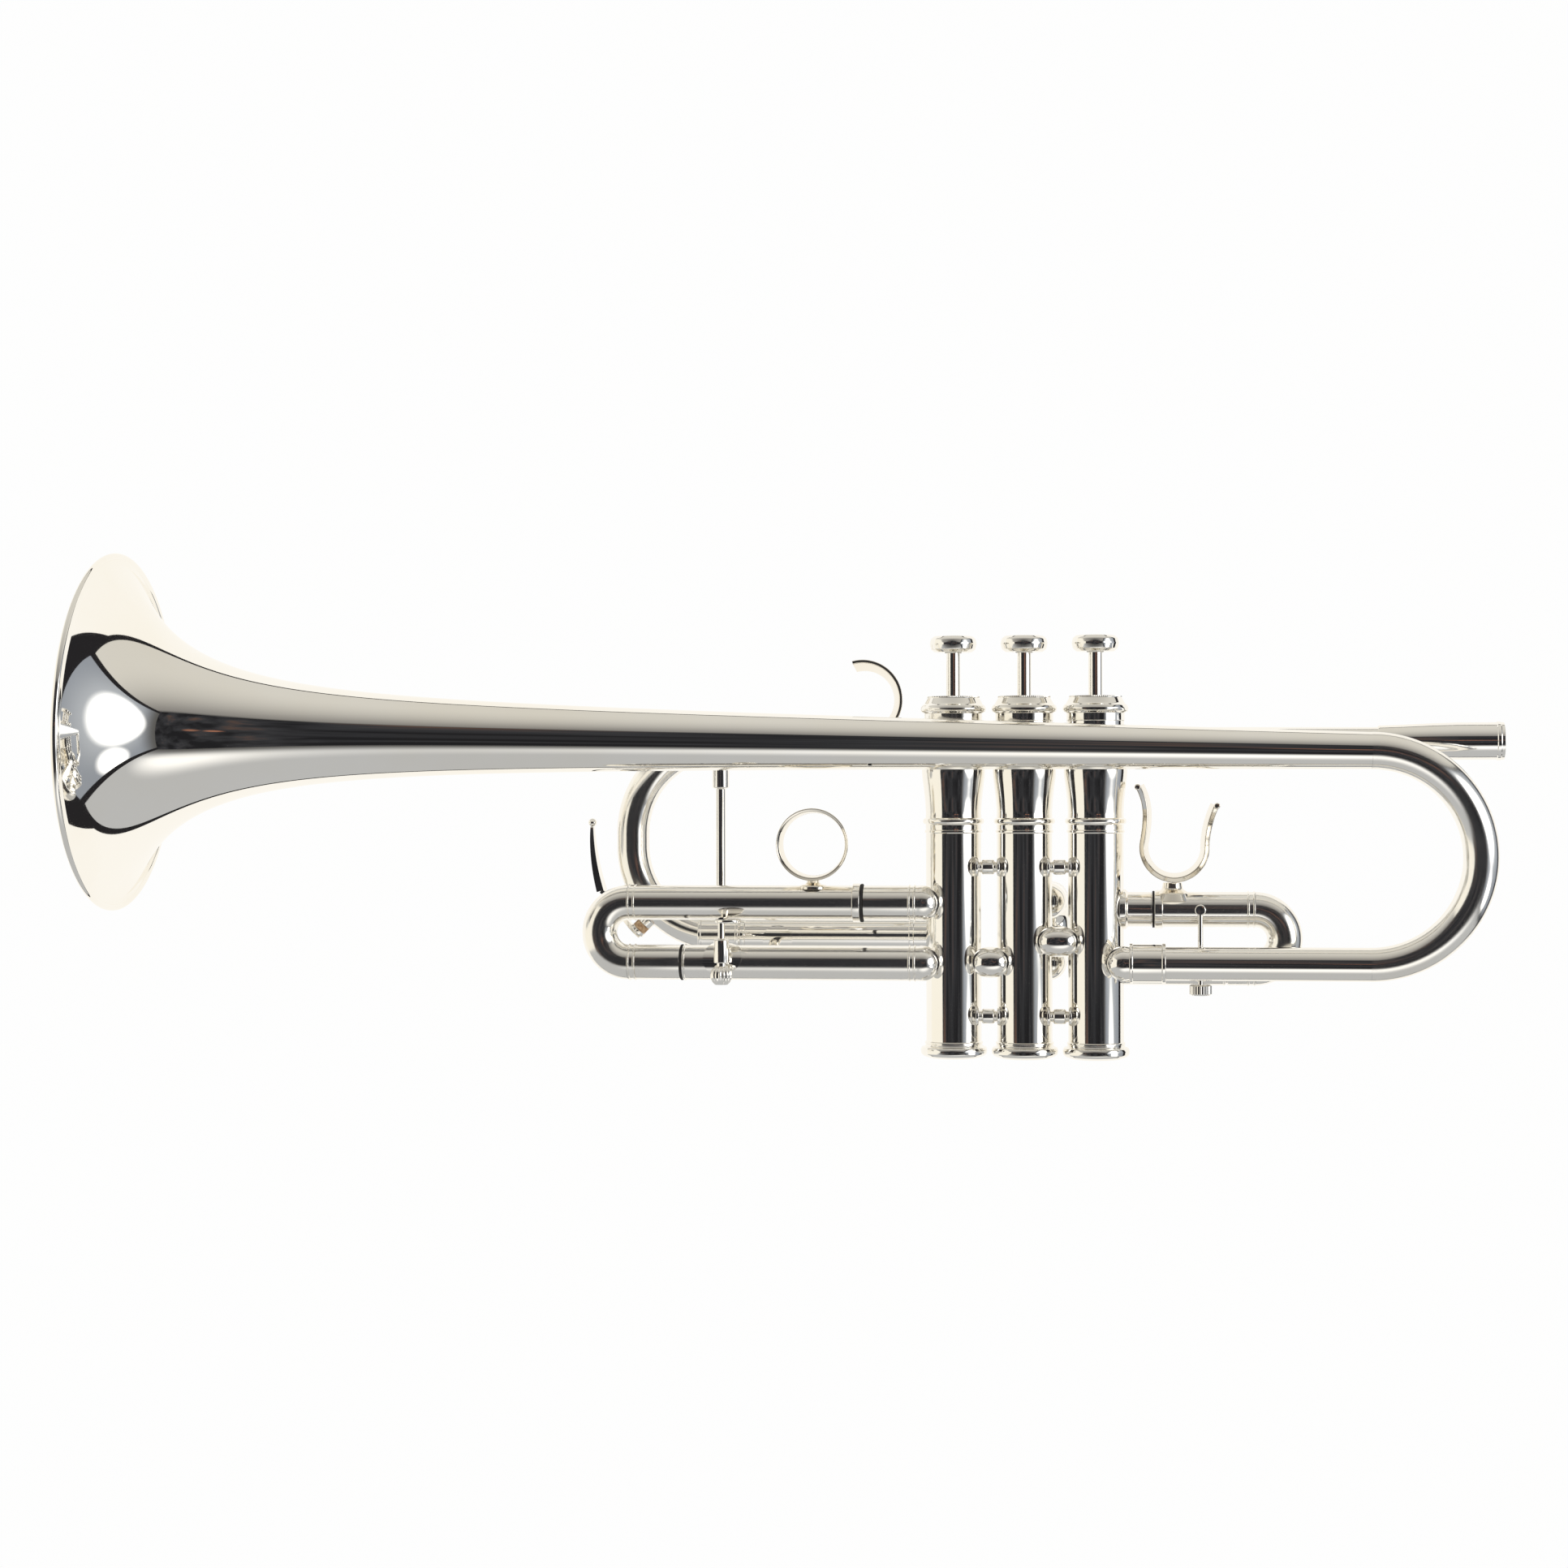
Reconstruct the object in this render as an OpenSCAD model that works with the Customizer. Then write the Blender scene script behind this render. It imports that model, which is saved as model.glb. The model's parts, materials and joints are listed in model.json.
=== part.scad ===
// Piston-valve trumpet in C, as an assembly of its real pieces.
// Origin: on the second valve's axis, at the middle of the valve casings.
// +X runs along the horn towards the mouthpiece, +Z up along the valves to the finger
// buttons, and +Y towards the player's right, which is the leadpipe's side.

/* [Bell] */
// Outer radius of the bell at its rim
bell_rim_r = 62.5; // [60:0.5:65]
// Distance of the rim plane from the second valve, along X
bell_rim_x = 315; // [305:1:325]
// Wall of the bell
bell_wall = 0.6; // [0.5:0.1:0.8]
// Centre-line radius of the bell's rear bow
bell_bow_r = 36; // [35:0.5:37]

/* [Valves] */
// Distance between neighbouring valve axes
valve_pitch = 24.4; // [24:0.1:25]
// Outside diameter of a valve casing
casing_d = 19; // [18.8:0.1:19.4]
// Bore of a valve casing
casing_bore = 16.9; // [16.7:0.1:17]
// Travel of a valve
stroke = 14; // [12:0.5:14]
// Diameter of a finger button
button_d = 16; // [14:0.5:17]

/* [Tubing] */
// Outside diameter of the outer slide tubes
sleeve_d = 12; // [11.8:0.1:12.2]
// Outside diameter of the inner slide tubes
inner_d = 11.2; // [11:0.1:11.3]
// Wall of the slide tubes
tube_wall = 0.35; // [0.3:0.05:0.4]
// Radial running clearance of a slide tube, and of a piston
running_gap = 0.05; // [0.02:0.01:0.08]

/* [Slides] */
// Height between the legs of the main tuning slide
main_drop = 67.7; // [66:0.1:69]
// Height between the legs of the third valve slide
third_drop = 20.6; // [20:0.1:21]
// Height between the legs of the first valve slide
first_drop = 19.9; // [19.5:0.1:20.5]
// Height between the legs of the second valve slide
second_drop = 21.2; // [20.5:0.1:22]

/* [Mouthpiece receiver] */
// Bore of the mouthpiece receiver
receiver_bore = 9.8; // [9.5:0.1:10]
// Depth of the receiver's bore
receiver_depth = 24; // [22:1:25]

/* [Hidden] */

$fn = 96;
silver = [0.86, 0.86, 0.84];
silver_dark = [0.62, 0.62, 0.62];
felt_white = [0.9, 0.89, 0.85];
cork_brown = [0.62, 0.44, 0.28];
steel = [0.55, 0.56, 0.58];

// Valve axes: index 0 is the first valve, nearest the mouthpiece.
valve_x = [valve_pitch, 0, -valve_pitch];
casing_r = casing_d / 2;
bore_r = casing_bore / 2;
piston_r = bore_r - running_gap;
port_r = 5;

// Heights along a valve, from the bottom cap to the button.
z_cap_low = -62.6;
z_casing_low = -57.4;
z_bead_low = 15.2;
z_bead_high = 20;
z_waist = 22.4;
z_belly = 37;
z_neck = 46;
z_casing_top = 58;
z_cap_flare = 59.2;
z_cap_top = 62.2;
z_button_low = 77.4;
z_button_top = 83.2;
felt_h = 1.1;
piston_low = -41;
piston_high = 17;
barrel_high = 47;
guide_z = 19;
guide_h = 2.4;

// Tube radii. A fixed or moving inner tube runs in an outer one of sleeve_d.
sleeve_r = sleeve_d / 2;
sleeve_ri = inner_d / 2 + running_gap;
inner_r = inner_d / 2;
inner_ri = inner_r - tube_wall;

// Main tuning slide: its legs lie on the leadpipe's side.
main_y = 19.5;
main_z_high = 46.4;
main_z_low = main_z_high - main_drop;
main_out_x = -145.6;
main_r = 5.75;
main_arc_r = 31.5;
main_ferrule_x = [-115.4, -101.9];
main_sleeve_x = -101;
main_leg_end_x = -62;
main_arc_x = main_out_x + main_r + main_arc_r;
main_straight = main_drop - 2 * main_arc_r;

// Bell tail, which enters the first valve from the front.
tail_y = -13.6;
tail_z = -28.9;
tail_r = 5.7;
tail_ball = [valve_pitch + 9.7, tail_y];
tail_ball_r = 5.9;
ferrule_tail_x = [36, 48];
bell_y = -20;
bow_x = 116.5;
bow_lean = atan((tail_y - bell_y) / (2 * bell_bow_r));
bell_end_z = tail_z + 2 * bell_bow_r * cos(bow_lean);
bell_tilt = 1.05;
bell_len = (bell_rim_x + bow_x) / cos(bell_tilt) - 0.12;
bell_end_r = 6.25;
bow_tip_r = 6.15;

// Third valve slide, reaching forwards on the near side.
third_y = -10;
third_z = -8.8;
third_bow_x = -136.3;
third_ferrule_x = -133.6;
third_collar_x = -55.6;
third_sleeve_x = -117.2;
third_shoulder_x = -54.6;
third_root_x = -36.7;
knuckle_r = sleeve_r + 0.2;
third_ball = [-valve_pitch - 9.8, third_y];
ring_c = [-72.1, 11.3];
ring_r = 12.5;
ring_wall = 1;
ring_w = 7;
stop_x = -104.9;
stop_y = third_y - sleeve_r - 4.7;

// First valve slide, reaching back to the player.
first_y = 1;
first_z = -11.1;
first_bow_x = 78.5;
first_ferrule_x = 75.8;
first_collar_x = 44.4;
saddle_foot = [50.5, -1.9];
knob_x = 59.9;
rod_y = -7.3;

// Second valve slide, reaching out on the far side.
second_x = 8;
second_z = -8.6;
second_root_y = 7.5;
second_sleeve_y = 26;
second_port = 50;
second_bow_y = 34;

// Leadpipe and receiver.
taper_x = 121;
socket_x = 149;
receiver_x = 163.8;
receiver_lip = 1.8;

// Water key on the main tuning slide's bow.
wk_pivot = [-147.6, -8.6];
wk_arc_z = (main_z_high + main_z_low - main_straight) / 2;
wk_nipple_angle = 225;

// ---- Shared shapes -------------------------------------------------------------------

// A pipe along +X from x0 to x1.
module pipe_x(x0, x1, ro, ri) {
    translate([x0, 0, 0])
        rotate([0, 90, 0])
            difference() {
                cylinder(r = ro, h = x1 - x0);
                translate([0, 0, -1])
                    cylinder(r = ri, h = x1 - x0 + 2);
            }
}

// A plain round bar along +X from x0 to x1.
module bar_x(x0, x1, r) {
    translate([x0, 0, 0])
        rotate([0, 90, 0])
            cylinder(r = r, h = x1 - x0);
}

// A half circle of pipe in the X-Z plane, bulging towards -X from its own centre.
module half_bow(arc_r, ro, ri) {
    rotate([90, 0, 0])
        rotate([0, 0, 90])
            rotate_extrude(angle = 180)
                translate([arc_r, 0])
                    difference() {
                        circle(r = ro);
                        circle(r = ri);
                    }
}

// A quarter circle of pipe in the X-Z plane. It starts at angle a0 round its own centre.
module quarter_bow(arc_r, ro, ri, a0, sweep = 90) {
    rotate([90, 0, 0])
        rotate([0, 0, a0])
            rotate_extrude(angle = sweep)
                translate([arc_r, 0])
                    difference() {
                        circle(r = ro);
                        circle(r = ri);
                    }
}

// A ferrule with a rolled bead at each end, along +X.
module ferrule_x(x0, x1, ro, ri) {
    difference() {
        union() {
            bar_x(x0, x1, ro);
            for (x = [x0 + 0.6, x1 - 0.6])
                translate([x, 0, 0])
                    rotate([0, 90, 0])
                        rotate_extrude()
                            translate([ro - 0.25, 0])
                                circle(r = 0.6);
        }
        bar_x(x0 - 1, x1 + 1, ri);
    }
}

// A turned spool between two posts, along +X and centred on the origin.
module spool(len) {
    bar_x(-len / 2, len / 2, 1.3);
    for (side = [-1, 1])
        translate([side * (len / 2 - 1), 0, 0])
            rotate([0, 90, 0])
                cylinder(r = 2.9, h = 2, center = true);
    sphere(r = 2.2);
}

// Points round an arc in the X-Z plane, about one every 4 degrees.
function arc(cx, cz, r, from, to) =
    let (n = max(2, ceil(abs(to - from) / 4)))
    [for (i = [0:n]) let (a = from + (to - from) * i / n) [cx + r * cos(a), cz + r * sin(a)]];

// A knuckle beside a casing: a ball, a tube along X, and a neck to the valve's axis.
module knuckle(ball, z, axis_x, ball_r, tube_ro, tube_x) {
    neck_len = norm([ball[0] - axis_x, ball[1]]);
    neck_turn = atan2(ball[1], ball[0] - axis_x);
    past = tube_x > ball[0] ? ball_r : -ball_r;
    difference() {
        union() {
            translate([ball[0], ball[1], z])
                rotate([0, 90, 0])
                    sphere(r = ball_r);
            translate([0, ball[1], z])
                bar_x(min(ball[0], tube_x), max(ball[0], tube_x), tube_ro);
            translate([axis_x, 0, z])
                rotate([0, 90, neck_turn])
                    cylinder(r = tube_ro - 0.4, h = neck_len);
        }
        translate([axis_x, 0, z - 10])
            cylinder(r = casing_r, h = 20);
        translate([0, ball[1], z])
            bar_x(min(ball[0], tube_x + past), max(ball[0], tube_x + past), tube_ro - 1.4);
        translate([axis_x, 0, z])
            rotate([0, 90, neck_turn])
                cylinder(r = tube_ro - 1.7, h = neck_len);
    }
}

// A flat strip bent along a line of points in the X-Z plane. Its width lies along Y.
module ribbon(line, thick, width) {
    last = len(line) - 1;
    side = [for (i = [0:last])
        let (run = line[min(i + 1, last)] - line[max(i - 1, 0)])
        [-run[1], run[0]] / norm(run) * thick / 2];
    rotate([90, 0, 0])
        linear_extrude(height = width, center = true)
            polygon(concat([for (i = [0:last]) line[i] + side[i]],
                           [for (i = [last:-1:0]) line[i] - side[i]]));
}

// ---- Bell ----------------------------------------------------------------------------

// Outer radius of the bell at distance d behind its rim.
// The flare falls off as a power of the distance, and the stem tapers evenly.
flare_r = 49.9;
flare_len = 45.1;
flare_power = 2.316;
stem_r = bell_rim_r - flare_r;
stem_taper = (stem_r - bell_end_r + 0.2) / bell_len;
function bell_r(d) = flare_r * pow(flare_len / (d + flare_len), flare_power) + stem_r - stem_taper * d;

bell_steps = concat([for (d = [0.8:2.4:24]) d], [for (d = [28:6:88]) d],
                    [for (d = [100:30:400]) d], [bell_len]);
// The flare leans, so its wall is a little more when measured straight in.
flare_wall = bell_wall * 1.25;

brace_steps = [240, 270, 300, 330, 360, 390];

module bell_place() {
    translate([bow_x, bell_y, bell_end_z])
        rotate([0, bell_tilt, 0])
            translate([-bell_len, 0, 0])
                rotate([0, 90, 0])
                    children();
}

module bell() {
    color(silver)
        bell_place()
            difference() {
                union() {
                    rotate_extrude()
                        polygon(concat(
                            [for (d = bell_steps) [bell_r(d), d]],
                            [for (i = [len(bell_steps) - 1:-1:0])
                                let (d = bell_steps[i])
                                let (t = d < 60 ? flare_wall : bell_wall)
                                [bell_r(d) - t, d]]));
                    // Rolled edge round the rim wire.
                    rotate_extrude()
                        translate([bell_rim_r - 1.2, 1.2])
                            circle(r = 1.2);
                }
                rotate_extrude()
                    translate([bell_rim_r - 1.2, 1.2])
                        circle(r = 0.75);
            }
}

module bell_rim_wire() {
    color(steel)
        bell_place()
            rotate_extrude()
                translate([bell_rim_r - 1.2, 1.2])
                    circle(r = 0.7);
}

module bell_bow() {
    color(silver)
        translate([bow_x, bell_y, bell_end_z])
            rotate([bow_lean, 0, 0])
                translate([0, 0, -bell_bow_r])
                    mirror([1, 0, 0])
                        half_bow(bell_bow_r, bow_tip_r, bow_tip_r - bell_wall);
}

module bell_tail() {
    color(silver)
        translate([0, tail_y, tail_z])
            pipe_x(ferrule_tail_x[1], bow_x, tail_r, tail_r - bell_wall);
}

module bell_tail_ferrule() {
    color(silver)
        translate([0, tail_y, tail_z])
            ferrule_x(ferrule_tail_x[0], ferrule_tail_x[1], 6.6, 5.1);
}

// A ball-shaped elbow between the tail and the first valve.
module bell_tail_knuckle() {
    color(silver)
        difference() {
            knuckle(tail_ball, tail_z, valve_x[0], tail_ball_r, tail_r, ferrule_tail_x[0]);
            translate([0, tail_y, tail_z])
                bar_x(ferrule_tail_x[0], ferrule_tail_x[1], tail_ball_r + 1);
            translate([0, first_y, first_z - first_drop])
                bar_x(valve_x[0], ferrule_tail_x[1], sleeve_r);
        }
}

// ---- Leadpipe ------------------------------------------------------------------------

module leadpipe() {
    color(silver)
        translate([0, main_y, main_z_high])
            difference() {
                rotate([0, 90, 0])
                    rotate_extrude()
                        polygon([[0, main_sleeve_x + 60], [5.4, main_sleeve_x + 60],
                                 [5.4, 20], [4.9, taper_x + 2], [0, taper_x + 2]]);
                bar_x(main_sleeve_x, taper_x + 3, 4.3);
            }
}

module mouthpiece_receiver() {
    color(silver)
        translate([0, main_y, main_z_high])
            difference() {
                rotate([0, 90, 0])
                    rotate_extrude()
                        polygon([[0, taper_x], [5.1, taper_x], [5.5, taper_x + 0.6], [5.6, taper_x + 6],
                                 [5.95, socket_x - 8], [6.2, socket_x], [6.2, receiver_x - receiver_lip - 0.5],
                                 [6.5, receiver_x - receiver_lip], [6.5, receiver_x - 0.3],
                                 [6.2, receiver_x], [0, receiver_x]]);
                bar_x(taper_x - 1, receiver_x - receiver_depth + 0.5, 4.3);
                rotate([0, 90, 0])
                    rotate_extrude()
                        polygon([[0, taper_x - 1], [5.1, taper_x - 1], [4.92, taper_x + 2], [0, taper_x + 2]]);
                bar_x(receiver_x - receiver_depth, receiver_x + 1, receiver_bore / 2);
            }
}

// Upper outer sleeve of the main tuning slide, with the leadpipe's end inside it.
module main_slide_upper_sleeve() {
    color(silver)
        translate([0, main_y, main_z_high])
            difference() {
                union() {
                    bar_x(main_sleeve_x, main_sleeve_x + 64, sleeve_r);
                    bar_x(main_sleeve_x, main_sleeve_x + 1.6, sleeve_r + 0.35);
                    bar_x(main_sleeve_x + 62.4, main_sleeve_x + 64, sleeve_r + 0.25);
                }
                bar_x(main_sleeve_x - 1, main_sleeve_x + 60, sleeve_ri);
                bar_x(main_sleeve_x + 59, main_sleeve_x + 65, 5.4);
            }
}

// Lower outer sleeve of the main tuning slide, ending in an elbow into the third valve.
module main_slide_lower_sleeve() {
    elbow_r = 10;
    color(silver)
        difference() {
            translate([0, main_y, main_z_low]) {
                pipe_x(main_sleeve_x, valve_x[2] - elbow_r, sleeve_r, sleeve_ri);
                pipe_x(main_sleeve_x, main_sleeve_x + 1.6, sleeve_r + 0.35, sleeve_ri);
                pipe_x(-41, -39.6, sleeve_r + 0.35, sleeve_ri);
                translate([valve_x[2] - elbow_r, -elbow_r, 0])
                    rotate_extrude(angle = 90)
                        translate([elbow_r, 0])
                            difference() {
                                circle(r = sleeve_r);
                                circle(r = sleeve_ri);
                            }
                translate([valve_x[2], -elbow_r, 0])
                    rotate([90, 0, 0])
                        difference() {
                            cylinder(r = sleeve_r, h = 4);
                            translate([0, 0, -1])
                                cylinder(r = port_r, h = 6);
                        }
            }
            translate([valve_x[2], 0, main_z_low - 15])
                cylinder(r = casing_r, h = 30);
        }
}

// ---- Valves --------------------------------------------------------------------------

// A passage from the valve's axis out through the casing wall, at an angle in plan.
module port(angle, z, r = port_r) {
    translate([0, 0, z])
        rotate([0, 90, angle])
            cylinder(r = r, h = 14);
}

// A valve casing: straight below, two beads, then a flared baluster up to the top cap.
module valve_casing(x, ports) {
    color(silver)
        translate([x, 0, 0])
            difference() {
                rotate_extrude()
                    difference() {
                        polygon([
                            [0, z_casing_low], [casing_r, z_casing_low], [casing_r, z_bead_low - 0.2],
                            [casing_r + 0.35, z_bead_low], [casing_r + 0.35, z_bead_low + 0.8],
                            [casing_r + 0.1, z_bead_low + 1], [casing_r + 0.1, z_bead_high - 2.2],
                            [casing_r + 0.9, z_bead_high - 1.6], [casing_r + 1, z_bead_high - 0.9],
                            [casing_r + 0.9, z_bead_high - 0.2], [casing_r + 0.15, z_bead_high + 0.3],
                            [casing_r + 0.05, z_waist], [casing_r + 0.3, z_waist + 4],
                            [casing_r + 0.75, z_waist + 8], [casing_r + 1.25, z_waist + 12],
                            [casing_r + 1.4, z_belly], [casing_r + 1.2, z_belly + 3],
                            [casing_r + 0.7, z_belly + 6], [casing_r + 0.35, z_neck],
                            [casing_r + 0.3, z_casing_top - 6], [casing_r - 0.2, z_casing_top - 5],
                            [casing_r - 0.2, z_casing_top], [0, z_casing_top]
                        ]);
                        translate([0, z_casing_low - 1])
                            square([bore_r, z_casing_top - z_casing_low + 2]);
                    }
                for (p = ports)
                    port(p[0], p[1], port_r);
            }
}

module valve_top_cap() {
    rotate_extrude()
        polygon([
            [3, z_cap_top], [9, z_cap_top], [9.4, z_cap_top - 0.4], [9.5, z_cap_top - 1.6],
            [10.9, z_cap_flare], [11.1, z_cap_flare - 0.6], [11.1, z_cap_flare - 1.7],
            [10.8, z_cap_flare - 2.3], [10, z_cap_flare - 2.6], [9.9, z_casing_top - 4.6],
            [casing_r - 0.2, z_casing_top - 4.6], [casing_r - 0.2, z_casing_top],
            [8.6, z_casing_top], [8.6, z_cap_top - 1.2], [3, z_cap_top - 1.2]
        ]);
}

module valve_top_caps() {
    color(silver)
        for (x = valve_x)
            translate([x, 0, 0])
                valve_top_cap();
}

module valve_bottom_cap() {
    rotate_extrude()
        polygon([
            [0, z_cap_low], [7, z_cap_low + 0.2], [10.4, z_cap_low + 0.6], [11.3, z_cap_low + 1.3],
            [11.4, z_cap_low + 2.2], [11.2, z_casing_low - 1], [10.2, z_casing_low - 0.3],
            [9.6, z_casing_low], [bore_r - 0.1, z_casing_low], [bore_r - 0.1, z_casing_low + 1.8],
            [7.4, z_casing_low + 1.8], [7.4, z_cap_low + 2.4], [0, z_cap_low + 2.2]
        ]);
}

module valve_bottom_caps() {
    color(silver)
        for (x = valve_x)
            translate([x, 0, 0])
                valve_bottom_cap();
}

// The guide is a bar across the casing that runs in the spring barrel's two slots.
module valve_guides() {
    color("white")
        for (x = valve_x)
            translate([x, 0, guide_z])
                intersection() {
                    cylinder(r = bore_r, h = guide_h);
                    union() {
                        cylinder(r = 6.4, h = guide_h);
                        translate([-1.5, -10, 0])
                            cube([3, 20, guide_h]);
                    }
                }
}

// Each spring stands on its guide and pushes up on the top of the spring barrel.
module valve_spring(x) {
    turns = 7;
    wire_r = 0.4;
    low = guide_z + guide_h + wire_r;
    high = barrel_high - 1.5 - wire_r;
    color(steel)
        for (i = [0:turns])
            translate([x, 0, low + (high - low) * i / turns])
                rotate_extrude($fn = 48)
                    translate([5.4, 0])
                        circle(r = wire_r, $fn = 16);
}

// Piston with its air passages and, above them, the slotted barrel for the spring.
module piston(x) {
    color(silver_dark)
        translate([x, 0, 0])
            difference() {
                translate([0, 0, piston_low])
                    cylinder(r = piston_r, h = barrel_high - piston_low);
                translate([0, 0, piston_low - 1])
                    cylinder(r = 5.6, h = 5);
                translate([0, 0, piston_high])
                    cylinder(r = piston_r - 1, h = barrel_high - piston_high - 1.5);
                translate([-1.8, -10, guide_z - 0.4])
                    cube([3.6, 20, guide_h + stroke + 0.8]);
                for (z = [-31, -18, -5])
                    translate([0, 0, z])
                        rotate([90, 0, 45])
                            cylinder(r = 4.4, h = 20, center = true);
                cylinder(r = 1.6, h = barrel_high + 1);
            }
}

module valve_stem(x) {
    color(silver)
        translate([x, 0, 0]) {
            translate([0, 0, barrel_high])
                cylinder(r = 4, h = 2);
            translate([0, 0, barrel_high + 1.9])
                cylinder(r = 2.55, h = z_button_low - barrel_high - 1.9);
        }
}

module finger_button(x) {
    r = button_d / 2;
    color(silver)
        translate([x, 0, 0])
            rotate_extrude()
                polygon([
                    [0, z_button_low], [4.6, z_button_low], [5.4, z_button_low + 0.7],
                    [r - 1.4, z_button_low + 1.1], [r - 0.4, z_button_low + 1.8],
                    [r, z_button_low + 2.8], [r - 0.1, z_button_low + 4],
                    [r - 0.8, z_button_low + 5], [r - 1.8, z_button_top - 0.4],
                    [r - 2.6, z_button_top - 0.5], [4, z_button_top - 0.1], [0, z_button_top]
                ]);
}

module button_felt(x) {
    color(felt_white)
        translate([x, 0, z_button_low - felt_h])
            difference() {
                cylinder(r = 5, h = felt_h);
                translate([0, 0, -1])
                    cylinder(r = 2.55, h = felt_h + 2);
            }
}

// Short tubes that join neighbouring valves on the near side, with rounded ends.
module crossover(x, z) {
    difference() {
        translate([x, -8.6, z])
            rotate([0, 90, 0])
                rotate_extrude()
                    polygon([[0, -7.1], [2.6, -7.1], [4.2, -6.4], [5, -5], [5.3, -3], [5.4, 0],
                             [5.3, 3], [5, 5], [4.2, 6.4], [2.6, 7.1], [0, 7.1]]);
        for (side = [-1, 1])
            translate([x + side * valve_pitch / 2, 0, z - 10])
                cylinder(r = casing_r, h = 20);
        translate([x, -8.6, z])
            sphere(r = 4.2);
    }
}

module crossover_tubes() {
    color(silver) {
        crossover(-valve_pitch / 2, -29);
        crossover(valve_pitch / 2, -21.8);
    }
}

module casing_braces() {
    color(silver)
        for (x = [-valve_pitch / 2, valve_pitch / 2], z = [3.5, -47.6])
            difference() {
                translate([x, -3, z])
                    spool(valve_pitch - 14);
                for (side = [-1, 1])
                    translate([x + side * valve_pitch / 2, 0, z - 10])
                        cylinder(r = casing_r, h = 20);
            }
}

// ---- Third valve slide ---------------------------------------------------------------

// Upper leg: knuckle and ferrule on the valve, then the inner tube that the slide runs on.
module third_slide_fixed_tube() {
    color(silver) {
        knuckle(third_ball, third_z, valve_x[2], knuckle_r, sleeve_r, third_root_x);
        translate([0, third_y, third_z]) {
            pipe_x(third_shoulder_x, third_root_x, sleeve_r, inner_ri);
            for (x = [-39, -37])
                pipe_x(x, x + 0.8, sleeve_r + 0.3, inner_ri);
            pipe_x(-126, third_shoulder_x, inner_r, inner_ri);
        }
    }
}

module third_slide_sleeve() {
    low_z = third_z - third_drop;
    color(silver) {
        knuckle(third_ball, low_z, valve_x[2], knuckle_r, sleeve_r, third_root_x);
        translate([0, third_y, low_z]) {
            pipe_x(third_sleeve_x, third_root_x, sleeve_r, sleeve_ri);
            for (x = [-39, -37])
                pipe_x(x, x + 0.8, sleeve_r + 0.3, sleeve_ri);
            pipe_x(third_sleeve_x, third_sleeve_x + 1.2, sleeve_r + 0.25, sleeve_ri);
        }
    }
}

module third_slide_bow() {
    color(silver)
        translate([0, third_y, third_z - third_drop / 2]) {
            translate([third_bow_x, 0, 0])
                half_bow(third_drop / 2, sleeve_r, inner_ri);
            for (side = [-1, 1])
                translate([0, 0, side * third_drop / 2]) {
                    pipe_x(third_bow_x, third_ferrule_x, sleeve_r, inner_ri);
                    for (x = [third_bow_x - 0.3, third_ferrule_x - 0.8])
                        pipe_x(x, x + 0.8, sleeve_r + 0.25, sleeve_r - 0.1);
                }
        }
}

// Upper leg slides over the fixed tube, the lower leg runs inside the fixed sleeve.
module third_slide_tubes() {
    color(silver)
        translate([0, third_y, 0]) {
            translate([0, 0, third_z])
                difference() {
                    union() {
                        bar_x(third_ferrule_x, third_collar_x, sleeve_r);
                        bar_x(third_collar_x - 2.4, third_collar_x, sleeve_r + 0.35);
                    }
                    bar_x(third_ferrule_x - 1, third_collar_x + 1, sleeve_ri);
                }
            translate([0, 0, third_z - third_drop]) {
                pipe_x(third_ferrule_x, -48, inner_r, inner_ri);
                pipe_x(third_ferrule_x, third_sleeve_x - 0.8, sleeve_r, inner_r - 0.1);
            }
        }
}

module third_finger_ring() {
    color(silver)
        difference() {
            union() {
                translate([ring_c[0], third_y, ring_c[1]])
                    rotate([90, 0, 0])
                        cylinder(r = ring_r, h = ring_w, center = true);
                translate([ring_c[0], third_y, third_z + sleeve_r - 1])
                    cylinder(r1 = 4.6, r2 = 2.6, h = 3.5);
            }
            translate([ring_c[0], third_y, ring_c[1]])
                rotate([90, 0, 0])
                    cylinder(r = ring_r - ring_wall, h = ring_w + 2, center = true);
            translate([0, third_y, third_z])
                bar_x(ring_c[0] - 20, ring_c[0] + 20, sleeve_r);
        }
}

// Arm that hangs from the moving upper leg and comes to rest on the plate.
module third_stop_arm() {
    color(silver)
        difference() {
            union() {
                translate([stop_x - 3.2, stop_y - 1.6, third_z - sleeve_r - 0.6])
                    cube([9, 11, 1.5]);
                translate([stop_x, stop_y, third_z - 13])
                    cylinder(r = 1.3, h = 13 - sleeve_r);
                translate([stop_x, stop_y, third_z - 20.2])
                    cylinder(r = 3, h = 8);
            }
            translate([0, third_y, third_z])
                bar_x(stop_x - 20, stop_x + 20, sleeve_r);
        }
}

module third_stop_screw() {
    z = third_z - 20.2;
    color(silver)
        translate([stop_x, stop_y, z])
            union() {
                translate([0, 0, -0.9])
                    cylinder(r = 1.4, h = 0.9);
                translate([0, 0, -8.6])
                    rotate_extrude()
                        polygon([[0, 0], [1.6, 0.1], [2.9, 0.9], [3.6, 2.2], [3.7, 4],
                                 [3.7, 6.4], [3.3, 7.4], [2.6, 7.7], [0, 7.7]]);
            }
}

// Round flange that lies on the near face of the lower sleeve and takes the arm's thrust.
module stop_plate() {
    color(silver)
        intersection() {
            translate([stop_x + 1.4, third_y, third_z - third_drop + 1.6])
                rotate([90, 0, 0])
                    cylinder(r = 6.1, h = sleeve_r + 2);
            translate([0, third_y, third_z - third_drop])
                pipe_x(stop_x - 10, stop_x + 12, sleeve_r + 0.6, sleeve_r);
        }
}

// ---- First valve slide ---------------------------------------------------------------

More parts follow.
